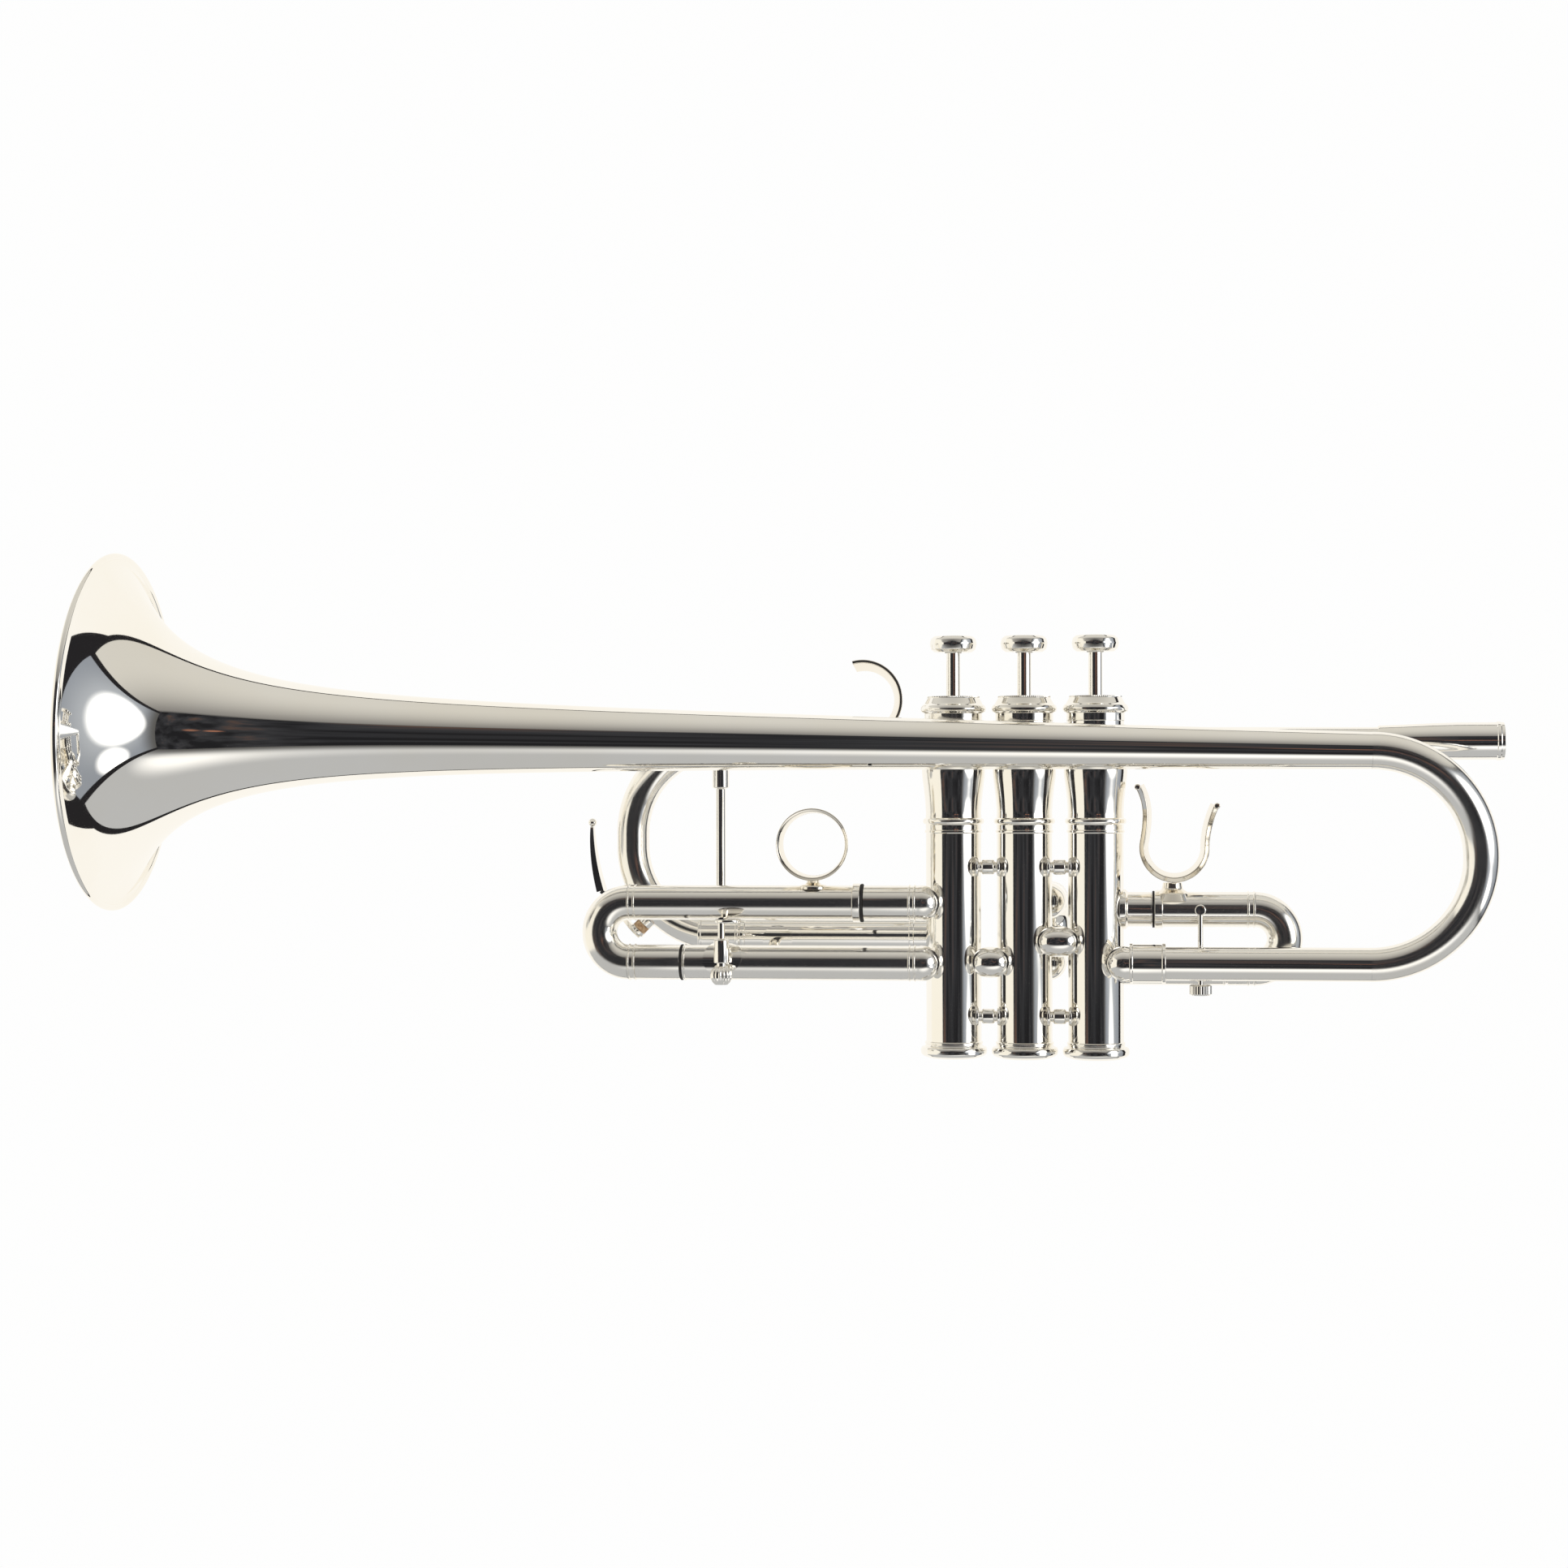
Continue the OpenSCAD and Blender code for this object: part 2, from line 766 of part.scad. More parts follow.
module first_slide_fixed_tube() {
    color(silver)
        translate([0, first_y, first_z])
            difference() {
                union() {
                    bar_x(valve_x[0] + 8, 43.4, sleeve_r - 0.1);
                    bar_x(43.4, first_bow_x - 6, inner_r);
                    bar_x(valve_x[0] + 9.4, valve_x[0] + 11, sleeve_r + 0.5);
                }
                bar_x(valve_x[0], first_bow_x, inner_ri);
                translate([valve_x[0], -first_y, -10])
                    cylinder(r = casing_r, h = 20);
            }
}

module first_slide_sleeve() {
    color(silver)
        translate([0, first_y, first_z - first_drop])
            difference() {
                union() {
                    bar_x(valve_x[0] + 8, first_bow_x - 10, sleeve_r);
                    bar_x(first_bow_x - 11.2, first_bow_x - 10, sleeve_r + 0.15);
                }
                bar_x(valve_x[0] + 14, first_bow_x, sleeve_ri);
                bar_x(valve_x[0], first_bow_x, port_r);
                translate([valve_x[0], -first_y, -10])
                    cylinder(r = casing_r, h = 20);
            }
}

module first_slide_bow() {
    color(silver)
        translate([0, first_y, first_z - first_drop / 2]) {
            translate([first_bow_x, 0, 0])
                mirror([1, 0, 0])
                    half_bow(first_drop / 2, sleeve_r, inner_ri);
            for (side = [-1, 1])
                translate([0, 0, side * first_drop / 2]) {
                    pipe_x(first_ferrule_x, first_bow_x, sleeve_r, inner_ri);
                    for (x = [first_ferrule_x, first_bow_x - 0.5])
                        pipe_x(x, x + 0.8, sleeve_r + 0.25, sleeve_r - 0.1);
                }
        }
}

module first_slide_tubes() {
    color(silver)
        translate([0, first_y, 0]) {
            translate([0, 0, first_z])
                difference() {
                    union() {
                        bar_x(first_collar_x, first_ferrule_x, sleeve_r);
                        bar_x(first_collar_x, first_collar_x + 2.8, sleeve_r + 0.4);
                    }
                    bar_x(first_collar_x - 1, first_ferrule_x + 1, sleeve_ri);
                }
            translate([0, 0, first_z - first_drop]) {
                pipe_x(44, first_ferrule_x, inner_r, inner_ri);
                pipe_x(first_bow_x - 9.4, first_ferrule_x, sleeve_r, inner_r - 0.1);
            }
        }
}

// Lyre-shaped saddle for the thumb: a round bowl, two arms, and tips that flare outwards.
saddle_r = 11.2;
saddle_c = [saddle_foot[0] + 0.7, saddle_foot[1] + saddle_r + 0.8];
saddle_left = [for (t = [1:-0.1:0.1])
    [saddle_c[0] - saddle_r + 0.14 + 3.2 * t - 4.6 * pow(t, 3), saddle_c[1] + 1.7 + 19 * t]];
saddle_right = [for (t = [0.1:0.1:1])
    [saddle_c[0] + saddle_r + 0.1 * t + 3.2 * t * t, saddle_c[1] + 14.2 * t]];
saddle_line = concat(saddle_left, arc(saddle_c[0], saddle_c[1], saddle_r, 171, 360), saddle_right);

module first_thumb_saddle() {
    color(silver)
        translate([0, first_y, 0])
            difference() {
                union() {
                    ribbon(saddle_line, 1.2, 9);
                    for (tip = [saddle_line[0], saddle_line[len(saddle_line) - 1]])
                        translate([tip[0], 0, tip[1]])
                            rotate([90, 0, 0])
                                cylinder(r = 1, h = 8.6, center = true);
                    translate([saddle_foot[0], 0, first_z + sleeve_r - 1])
                        cylinder(r1 = 4.4, r2 = 2.6, h = saddle_foot[1] - first_z - sleeve_r + 1.4);
                }
                translate([0, 0, first_z]) {
                    bar_x(30, 80, sleeve_r);
                    bar_x(30, first_collar_x + 2.9, sleeve_r + 0.5);
                }
            }
}

// Rod from the moving upper leg down to a knurled knob below the legs.
module first_stop_arm() {
    color(silver)
        translate([knob_x, first_y + rod_y, 0])
            difference() {
                union() {
                    translate([0, 0, -36.4])
                        cylinder(r = 0.9, h = 36.4 + first_z);
                    translate([0, 0, -40])
                        cylinder(r = 3.8, h = 3.7);
                    translate([-1.6, -1, first_z - 2])
                        cube([3.2, 4, 4]);
                }
                translate([0, -rod_y, first_z])
                    bar_x(-20, 20, sleeve_r);
            }
}

// ---- Second valve slide --------------------------------------------------------------

module second_slide_sleeves() {
    color(silver)
        for (z = [second_z, second_z - second_drop])
            difference() {
                translate([second_x, second_root_y, z]) {
                    sphere(r = knuckle_r);
                    rotate([-90, 0, 0])
                        cylinder(r = sleeve_r, h = second_sleeve_y - second_root_y);
                }
                translate([second_x, second_root_y + 1, z])
                    rotate([-90, 0, 0])
                        cylinder(r = sleeve_ri, h = second_sleeve_y);
                port(second_port, z, 4.4);
                for (x = valve_x)
                    translate([x, 0, z - 10])
                        cylinder(r = casing_r, h = 20);
            }
}

module second_slide_tubes() {
    color(silver)
        for (z = [second_z, second_z - second_drop])
            translate([second_x, 12, z])
                rotate([-90, 0, 0])
                    difference() {
                        union() {
                            cylinder(r = inner_r, h = second_bow_y - 12);
                            translate([0, 0, second_sleeve_y - 12 + 0.5])
                                cylinder(r = sleeve_r, h = second_bow_y - second_sleeve_y - 0.5);
                        }
                        translate([0, 0, -1])
                            cylinder(r = inner_ri, h = second_bow_y);
                    }
}

// Bow of the second slide, with its pull knob.
module second_slide_bow() {
    color(silver)
        translate([second_x, second_bow_y, second_z - second_drop / 2]) {
            rotate([0, 0, -90])
                half_bow(second_drop / 2, sleeve_r, inner_ri);
            translate([0, second_drop / 2 + sleeve_r - 0.4, 0])
                rotate([-90, 0, 0]) {
                    cylinder(r = 1.6, h = 3);
                    translate([0, 0, 2.4])
                        cylinder(r = 3.4, h = 3);
                }
        }
}

// ---- Hook and braces -----------------------------------------------------------------

// Hook for the little finger, on top of the leadpipe.
module pinky_hook() {
    color(silver)
        translate([0, main_y, 0])
            difference() {
                union() {
                    ribbon(arc(-57.4, 61.6, 13.6, -46, 105), 1.4, 9);
                    translate([-48, 0, main_z_high + 3])
                        cylinder(r1 = 6, r2 = 3.6, h = 4);
                }
                translate([0, 0, main_z_high])
                    bar_x(-80, -20, sleeve_r);
            }
}

// A brace between the bell and the leadpipe, with a flange near each end.
module bell_brace(x, pipe_r) {
    difference() {
        translate([x, bell_y, 46.2])
            rotate([-90, 0, 0]) {
                cylinder(r = 2, h = main_y - bell_y);
                for (y = [8, main_y - bell_y - 8.2])
                    translate([0, 0, y])
                        cylinder(r = 4.2, h = 2.4);
            }
        translate([0, main_y, main_z_high])
            bar_x(x - 10, x + 10, pipe_r);
        bell_place()
            rotate_extrude()
                polygon(concat([[0, brace_steps[0]]], [for (d = brace_steps) [bell_r(d), d]],
                               [[0, brace_steps[len(brace_steps) - 1]]]));
    }
}

module bell_braces() {
    color(silver) {
        bell_brace(-50, sleeve_r);
        bell_brace(62, 5.25);
    }
}

// Brace between the lower main sleeve and the third slide's lower sleeve.
module third_slide_brace() {
    z = main_z_low - 3;
    color(silver)
        difference() {
            translate([-89, third_y, z])
                rotate([-90, 0, 0]) {
                    cylinder(r = 2, h = main_y - third_y);
                    translate([0, 0, main_y - third_y - 8])
                        cylinder(r = 5.2, h = 3);
                }
            translate([0, main_y, main_z_low])
                bar_x(-110, -60, sleeve_r);
            translate([0, third_y, third_z - third_drop])
                bar_x(-110, -60, sleeve_r);
        }
}

// ---- Main tuning slide ---------------------------------------------------------------

module main_slide_bow() {
    color(silver)
        translate([main_arc_x, main_y, (main_z_high + main_z_low) / 2]) {
            for (side = [-1, 1])
                translate([0, 0, side * main_straight / 2])
                    quarter_bow(main_arc_r, main_r, main_r - bell_wall, side > 0 ? 90 : 180);
            translate([-main_arc_r, 0, -main_straight / 2])
                difference() {
                    cylinder(r = main_r, h = main_straight);
                    translate([0, 0, -1])
                        cylinder(r = main_r - bell_wall, h = main_straight + 2);
                }
            for (side = [-1, 1])
                translate([-main_arc_x, 0, side * main_drop / 2]) {
                    pipe_x(main_ferrule_x[0], main_ferrule_x[1], 6.6, inner_r);
                    for (x = main_ferrule_x)
                        pipe_x(x - 0.5, x + 0.5, 6.9, inner_r);
                }
            // Nipple under the water key's cork.
            translate([0, 0, -main_straight / 2])
                rotate([0, -wk_nipple_angle, 0])
                    translate([main_arc_r + main_r - 0.5, 0, 0])
                        rotate([0, 90, 0])
                            difference() {
                                cylinder(r = 2.9, h = 2.4);
                                translate([0, 0, 1])
                                    cylinder(r = 1.4, h = 2.4);
                            }
        }
}

module main_slide_legs() {
    color(silver)
        for (z = [main_z_high, main_z_low])
            translate([0, main_y, z])
                pipe_x(main_arc_x, main_leg_end_x, inner_r, inner_ri);
}

module main_slide_brace() {
    x = -108.4;
    color(silver)
        difference() {
            translate([x, main_y, main_z_low]) {
                cylinder(r = 1.75, h = main_drop);
                cylinder(r = 3, h = 10);
                translate([0, 0, main_drop - 16])
                    cylinder(r = 3, h = 16);
            }
            for (z = [main_z_high, main_z_low])
                translate([0, main_y, z])
                    bar_x(x - 8, x + 8, 6.65);
        }
}

// Two posts on the bow's outer side that hold the water key's pin.
module water_key_saddle() {
    color(silver)
        difference() {
            for (side = [-1, 1])
                translate([wk_pivot[0], main_y + side * 4.4, wk_pivot[1]]) {
                    rotate([90, 0, 0])
                        cylinder(r = 1.7, h = 1.6, center = true);
                    rotate([0, -12, 0])
                        translate([0, -0.8, -1.7])
                            cube([8, 1.6, 3.4]);
                }
            translate([wk_pivot[0], main_y, wk_pivot[1]])
                rotate([90, 0, 0])
                    cylinder(r = 0.9, h = 14, center = true);
            // The bow's own surface.
            translate([main_arc_x, main_y, wk_arc_z])
                rotate([90, 0, 0])
                    rotate([0, 0, 170])
                        rotate_extrude(angle = 60)
                            translate([main_arc_r, 0])
                                circle(r = main_r);
        }
}

// Thumb plate, curved away from the bow, and the tail that carries the cork in a cup.
wk_tail_r = 43.2;
wk_line = concat(arc(-71.6, 17.6, 83, 180.2, 196.4), arc(main_arc_x, wk_arc_z, wk_tail_r, 207, 228));

module water_key_lever() {
    color(silver)
        difference() {
            union() {
                translate([0, main_y, 0])
                    ribbon(wk_line, 1.2, 4.4);
                translate([wk_pivot[0], main_y, wk_pivot[1]])
                    rotate([90, 0, 0])
                        cylinder(r = 1.7, h = 6.8, center = true);
                translate([wk_line[0][0], main_y, wk_line[0][1] + 0.8])
                    sphere(r = 1.4);
                translate([main_arc_x, main_y, wk_arc_z])
                    rotate([0, -wk_nipple_angle, 0])
                        translate([wk_tail_r - 1.5, 0, 0])
                            rotate([0, 90, 0])
                                cylinder(r = 3, h = 1.4);
            }
            translate([wk_pivot[0], main_y, wk_pivot[1]])
                rotate([90, 0, 0])
                    cylinder(r = 0.85, h = 10, center = true);
        }
}

module water_key_cork() {
    color(cork_brown)
        translate([main_arc_x, main_y, wk_arc_z])
            rotate([0, -wk_nipple_angle, 0])
                translate([main_arc_r + main_r + 2, 0, 0])
                    rotate([0, 90, 0])
                        cylinder(r = 2.6, h = 2.4);
}

module water_key_pin() {
    color(steel)
        translate([wk_pivot[0], main_y, wk_pivot[1]])
            rotate([90, 0, 0]) {
                cylinder(r = 0.8, h = 11.4, center = true);
                translate([0, 0, 5.3])
                    cylinder(r = 1.5, h = 0.8);
            }
}

module water_key_spring() {
    color(steel)
        for (y = [-3.24, -2.6, 2.6, 3.24])
            translate([wk_pivot[0], main_y + y, wk_pivot[1]])
                rotate([90, 0, 0])
                    rotate_extrude($fn = 32)
                        translate([2.3, 0])
                            circle(r = 0.3, $fn = 16);
}

// ---- Assembly ------------------------------------------------------------------------

bell();
bell_rim_wire();
bell_bow();
bell_tail();
bell_tail_ferrule();
bell_tail_knuckle();
leadpipe();
mouthpiece_receiver();
main_slide_upper_sleeve();
main_slide_lower_sleeve();
valve_casing(valve_x[0], [[0, first_z], [0, first_z - first_drop],  // valve_casing_1
        [atan2(tail_ball[1], tail_ball[0] - valve_x[0]), tail_z], [214.9, -21.8]]);
valve_casing(valve_x[1], [[-34.9, -21.8], [214.9, -29], [second_port, second_z], [second_port, second_z - second_drop]]);  // valve_casing_2
valve_casing(valve_x[2], [[225, third_z], [225, third_z - third_drop], [90, main_z_low], [-34.9, -29]]);  // valve_casing_3
valve_top_caps();
valve_bottom_caps();
valve_guides();
crossover_tubes();
casing_braces();
third_slide_fixed_tube();
third_slide_sleeve();
first_slide_fixed_tube();
first_slide_sleeve();
second_slide_sleeves();
pinky_hook();
bell_braces();
third_slide_brace();
stop_plate();
for (i = [0:2]) {
    valve_spring(valve_x[i]);
    piston(valve_x[i]);
    valve_stem(valve_x[i]);
    finger_button(valve_x[i]);
    button_felt(valve_x[i]);
}
main_slide_bow();
main_slide_legs();
main_slide_brace();
water_key_saddle();
water_key_lever();
water_key_cork();
water_key_pin();
water_key_spring();
third_slide_bow();
third_slide_tubes();
third_finger_ring();
third_stop_arm();
third_stop_screw();
first_slide_bow();
first_slide_tubes();
first_thumb_saddle();
first_stop_arm();
second_slide_bow();
second_slide_tubes();
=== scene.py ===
"""A silver-plated piston trumpet in a white light tent, seen from the player's left."""
import json
import math

import bmesh
import bpy
from mathutils import Matrix, Vector


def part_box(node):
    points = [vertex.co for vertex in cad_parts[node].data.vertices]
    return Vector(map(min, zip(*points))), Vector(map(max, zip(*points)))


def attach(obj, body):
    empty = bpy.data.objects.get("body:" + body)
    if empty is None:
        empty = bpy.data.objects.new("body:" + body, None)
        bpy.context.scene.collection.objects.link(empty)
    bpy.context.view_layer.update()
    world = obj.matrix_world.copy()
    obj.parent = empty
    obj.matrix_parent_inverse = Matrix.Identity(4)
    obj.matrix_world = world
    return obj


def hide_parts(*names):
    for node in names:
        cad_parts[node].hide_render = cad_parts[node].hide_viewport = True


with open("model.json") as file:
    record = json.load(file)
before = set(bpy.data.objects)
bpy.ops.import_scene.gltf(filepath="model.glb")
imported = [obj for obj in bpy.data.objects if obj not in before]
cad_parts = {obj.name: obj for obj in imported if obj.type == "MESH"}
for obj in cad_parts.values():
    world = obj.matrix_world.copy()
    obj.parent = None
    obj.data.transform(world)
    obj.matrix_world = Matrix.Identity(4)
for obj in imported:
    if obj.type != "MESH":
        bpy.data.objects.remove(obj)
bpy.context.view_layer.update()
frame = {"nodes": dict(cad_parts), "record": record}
NODES = frame["nodes"]
MM = 0.001


# ---- Materials -------------------------------------------------------------------------

def shader_material(name, kind):
    """A material with one shader of the given kind in it."""
    mat = bpy.data.materials.new(name)
    mat.use_nodes = True
    tree = mat.node_tree
    tree.nodes.clear()
    out = tree.nodes.new("ShaderNodeOutputMaterial")
    shader = tree.nodes.new(kind)
    tree.links.new(shader.outputs[0], out.inputs["Surface"])
    return mat, tree, shader


def object_noise(tree, scale, detail):
    """Noise in the object's own metres, from 0 to 1."""
    coords = tree.nodes.new("ShaderNodeTexCoord")
    noise = tree.nodes.new("ShaderNodeTexNoise")
    noise.inputs["Scale"].default_value = scale
    noise.inputs["Detail"].default_value = detail
    tree.links.new(coords.outputs["Object"], noise.inputs["Vector"])
    return noise.outputs["Fac"]


def spread(tree, source, low, high):
    """Maps the middle of a 0 to 1 value on to low..high."""
    node = tree.nodes.new("ShaderNodeMapRange")
    node.inputs["From Min"].default_value = 0.3
    node.inputs["From Max"].default_value = 0.7
    node.inputs["To Min"].default_value = low
    node.inputs["To Max"].default_value = high
    tree.links.new(source, node.inputs["Value"])
    return node.outputs["Result"]


def ramp_of(tree, source, stops):
    """Colours over a 0 to 1 value: each stop is a position and a colour."""
    node = tree.nodes.new("ShaderNodeValToRGB")
    elements = node.color_ramp.elements
    for _ in stops[2:]:
        elements.new(1.0)
    for k, (position, color) in enumerate(stops):
        elements[k].position = position
        elements[k].color = (*color, 1)
    tree.links.new(source, node.inputs["Fac"])
    return node.outputs["Color"]


def relief(tree, shader, source, strength, depth):
    """Bumps on a shader from a 0 to 1 height."""
    bump = tree.nodes.new("ShaderNodeBump")
    bump.inputs["Strength"].default_value = strength
    bump.inputs["Distance"].default_value = depth
    tree.links.new(source, bump.inputs["Height"])
    tree.links.new(bump.outputs["Normal"], shader.inputs["Normal"])


TARNISH = (0.985, 0.975, 0.95)
POLISH_DEPTH = 0.00002


def silver(name, tint, rough_low, rough_high):
    """Polished plate: soft polishing waves, a trace of tarnish, and a faint uneven gloss."""
    mat, tree, shader = shader_material(name, "ShaderNodeBsdfPrincipled")
    shader.inputs["Metallic"].default_value = 1.0
    dimmed = [c * t for c, t in zip(tint, TARNISH)]
    color = ramp_of(tree, object_noise(tree, 22, 5), ((0.35, dimmed), (0.6, tint)))
    tree.links.new(color, shader.inputs["Base Color"])
    gloss = spread(tree, object_noise(tree, 60, 6), rough_low, rough_high)
    tree.links.new(gloss, shader.inputs["Roughness"])
    relief(tree, shader, object_noise(tree, 45, 2), 0.35, POLISH_DEPTH)
    return mat


def dull(name, dark, light, rough, scale, depth, metallic=0.0):
    """A matt stuff of two mixed tones with a fine relief."""
    mat, tree, shader = shader_material(name, "ShaderNodeBsdfPrincipled")
    shader.inputs["Metallic"].default_value = metallic
    shader.inputs["Roughness"].default_value = rough
    grain = object_noise(tree, scale, 6)
    color = ramp_of(tree, grain, ((0.35, dark), (0.65, light)))
    tree.links.new(color, shader.inputs["Base Color"])
    relief(tree, shader, grain, 0.6, depth)
    return mat


SILVER = (0.965, 0.945, 0.90)
SILVERS = {
    "bell_silver": (SILVER, 0.02, 0.045),
    "tube_silver": (SILVER, 0.05, 0.10),
    "drawn_silver": (SILVER, 0.13, 0.18),
    "handled_silver": ((0.93, 0.885, 0.80), 0.08, 0.14),
    "turned_silver": ((0.96, 0.94, 0.895), 0.05, 0.11),
    "piston_monel": ((0.62, 0.61, 0.6), 0.25, 0.35),
}
DULLS = {
    "spring_steel": ((0.45, 0.45, 0.46), (0.62, 0.61, 0.60), 0.3, 400, 0.00001, 1.0),
    "wire_steel": ((0.40, 0.40, 0.40), (0.55, 0.55, 0.54), 0.35, 400, 0.00001, 1.0),
    "felt": ((0.70, 0.67, 0.58), (0.90, 0.88, 0.80), 0.95, 1800, 0.0002),
    "cork": ((0.34, 0.20, 0.10), (0.66, 0.47, 0.28), 0.85, 900, 0.0001),
    "guide_nylon": ((0.80, 0.80, 0.77), (0.88, 0.88, 0.86), 0.45, 120, 0.00002),
    # The near-black bumper stuff also colours the painted shadow rings in the slide gaps.
    "bumper": ((0.010, 0.009, 0.009), (0.022, 0.020, 0.018), 0.7, 900, 0.00005),
}
MATERIALS = {name: silver(name, *looks) for name, looks in SILVERS.items()}
MATERIALS.update({name: dull(name, *looks) for name, looks in DULLS.items()})
felt_shader = MATERIALS["felt"].node_tree.nodes["Principled BSDF"]
felt_shader.inputs["Sheen Weight"].default_value = 0.4

for part in frame["record"]["subparts"]:
    mesh = NODES[part["node"]].data
    mesh.materials.clear()
    mesh.materials.append(MATERIALS[part["material_slot"]])


# ---- Mesh tools ------------------------------------------------------------------------
# Lengths are in millimetres in all of them.

ROUND = 144          # points round a turned or drawn piece
SHARP = math.radians(38)


def finished(name, verts, faces, material, body, stands_for=()):
    """Makes the object, shades it smooth with crisp corners, and hangs it on its body."""
    mesh = bpy.data.meshes.new(name)
    mesh.from_pydata(verts, [], faces)
    mesh.validate()
    work = bmesh.new()
    work.from_mesh(mesh)
    bmesh.ops.remove_doubles(work, verts=work.verts, dist=1e-7)
    bmesh.ops.recalc_face_normals(work, faces=work.faces)
    for face in work.faces:
        face.smooth = True
    for edge in work.edges:
        edge.smooth = not (len(edge.link_faces) == 2 and edge.calc_face_angle(0) > SHARP)
    work.to_mesh(mesh)
    work.free()
    mesh.materials.append(MATERIALS[material])
    piece = bpy.data.objects.new(name, mesh)
    bpy.context.scene.collection.objects.link(piece)
    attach(piece, body)
    if stands_for:
        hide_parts(*stands_for)


def joined(name, parts, material, body, stands_for=()):
    """One object from several (vertices, faces) pairs."""
    verts, faces = [], []
    for part_verts, part_faces in parts:
        base = len(verts)
        verts += part_verts
        faces += [tuple(base + i for i in face) for face in part_faces]
    finished(name, verts, faces, material, body, stands_for)


def rounded(points, steps=5):
    """An outline whose corners are rounded: each point is (along, radius, corner radius)."""
    points = [p for k, p in enumerate(points)
              if not k or math.dist(p[:2], points[k - 1][:2]) > 1e-3]
    out = []
    last = len(points) - 1
    for i, (x, r, *fillet) in enumerate(points):
        here = Vector((x, r))
        cut = fillet[0] if fillet else 0
        if cut == 0 or i in (0, last):
            out.append(here)
            continue
        before = Vector(points[i - 1][:2]) - here
        after = Vector(points[i + 1][:2]) - here
        half = before.angle(after) / 2
        if half > math.radians(88):
            out.append(here)
            continue
        back = min(cut / math.tan(half), before.length * 0.49, after.length * 0.49)
        cut = back * math.tan(half)
        bisector = (before.normalized() + after.normalized()).normalized()
        centre = here + bisector * (cut / math.sin(half))
        start = here + before.normalized() * back - centre
        end = here + after.normalized() * back - centre
        begin = math.atan2(start.y, start.x)
        turn = (math.atan2(end.y, end.x) - begin + math.pi) % (2 * math.pi) - math.pi
        out += [centre + Vector((math.cos(a), math.sin(a))) * cut
                for a in (begin + turn * k / steps for k in range(steps + 1))]
    return out


def curved(points, steps=8):
    """A smooth line through (along, radius) points."""
    pts = [Vector(p[:2]) for p in points]
    pts = [pts[0] * 2 - pts[1]] + pts + [pts[-1] * 2 - pts[-2]]
    out = []
    for a, b, c, d in zip(pts, pts[1:], pts[2:], pts[3:]):
        for k in range(steps):
            t = k / steps
            out.append(0.5 * ((2 * b) + (c - a) * t + (2 * a - 5 * b + 4 * c - d) * t * t
                              + (3 * b - a - 3 * c + d) * t * t * t))
    return out + [pts[-2]]


def lathe(outline, origin=(0, 0, 0), axis="X", count=ROUND):
    """Turns an outline of (along, radius) round an axis through origin."""
    frames = {"X": ((1, 0, 0), (0, 1, 0), (0, 0, 1)),
              "Y": ((0, 1, 0), (0, 0, 1), (1, 0, 0)),
              "Z": ((0, 0, 1), (1, 0, 0), (0, 1, 0))}
    along, side, up = (Vector(v) for v in frames[axis])
    origin = Vector(origin)
    verts, rings, faces = [], [], []
    for x, r in outline:
        if r < 1e-6:
            rings.append([len(verts)])
            verts.append((origin + along * x) * MM)
            continue
        rings.append(list(range(len(verts), len(verts) + count)))
        for k in range(count):
            a = 2 * math.pi * k / count
            out = side * math.cos(a) + up * math.sin(a)
            verts.append((origin + along * x + out * r) * MM)
    for low, high in zip(rings, rings[1:]):
        if len(low) == 1 and len(high) == 1:
            continue
        for k in range(count):
            n = (k + 1) % count
            if len(low) == 1:
                faces.append((low[0], high[k], high[n]))
            elif len(high) == 1:
                faces.append((low[k], high[0], low[n]))
            else:
                faces.append((low[k], high[k], high[n], low[n]))
    return verts, faces


def rod(start, end, radius, seat=(0, 0, 0), axis="X"):
    """A plain solid rod between two places along an axis."""
    return lathe([(start, 0), (start, radius), (end, radius), (end, 0)], seat, axis)


def beaded(x0, x1, outer, inner, lines=(), rise=0.28):
    """A tube's outline with raised lines, its ends softly rounded, and its bore."""
    edge, width = 0.25, 0.7
    outline = [(x0, inner), (x0, outer, edge)]
    for x in sorted(lines):
        outline += [(x - width / 2, outer), (x - width / 4, outer + rise, 0.15),
                    (x + width / 4, outer + rise, 0.15), (x + width / 2, outer)]
    outline += [(x1, outer, edge), (x1, inner), (x0, inner)]
    return rounded(outline)


def barrel(half, fat, power=2.2):
    """The outline of a fat ball with blunt ends."""
    return [(half * -math.cos(a), fat * (1 - abs(math.cos(a)) ** power) ** (1 / power))
            for a in (math.pi * k / 80 for k in range(81))]


def gap_shadow_ring(start, end, radius, seat):
    """A thin near-black ring with soft edges: painted shadow in the gap at a slide joint."""
    return lathe(rounded([(start, BAND_RI), (start, radius, 0.2), (end, radius, 0.2),
                          (end, BAND_RI), (start, BAND_RI)]), seat)


def placed(part, matrix):
    """The same part, moved by a matrix."""
    verts, faces = part
    return [matrix @ (v / MM) * MM for v in verts], faces


def sweep(path, flat, section, closed=False, grow=None):
    """Carries a section of (outward, sideways) points along a flat path.
    flat is the direction square to the path's plane; grow(t) scales the section on the way."""
    flat = Vector(flat).normalized()
    n = len(path)
    verts, faces = [], []
    m = len(section)
    for i, point in enumerate(path):
        if closed:
            run = path[(i + 1) % n] - path[i - 1]
        else:
            run = path[min(i + 1, n - 1)] - path[max(i - 1, 0)]
        out = flat.cross(run).normalized()
        scale = grow(i / (n - 1)) if grow else 1
        for u, v in section:
            verts.append((point + (out * u + flat * v) * scale) * MM)
    for i in range(n if closed else n - 1):
        j = (i + 1) % n
        for k in range(m):
            n_k = (k + 1) % m
            faces.append((i * m + k, j * m + k, j * m + n_k, i * m + n_k))
    if not closed:
        faces += [tuple(range(m)), tuple(reversed(range((n - 1) * m, n * m)))]
    return verts, faces


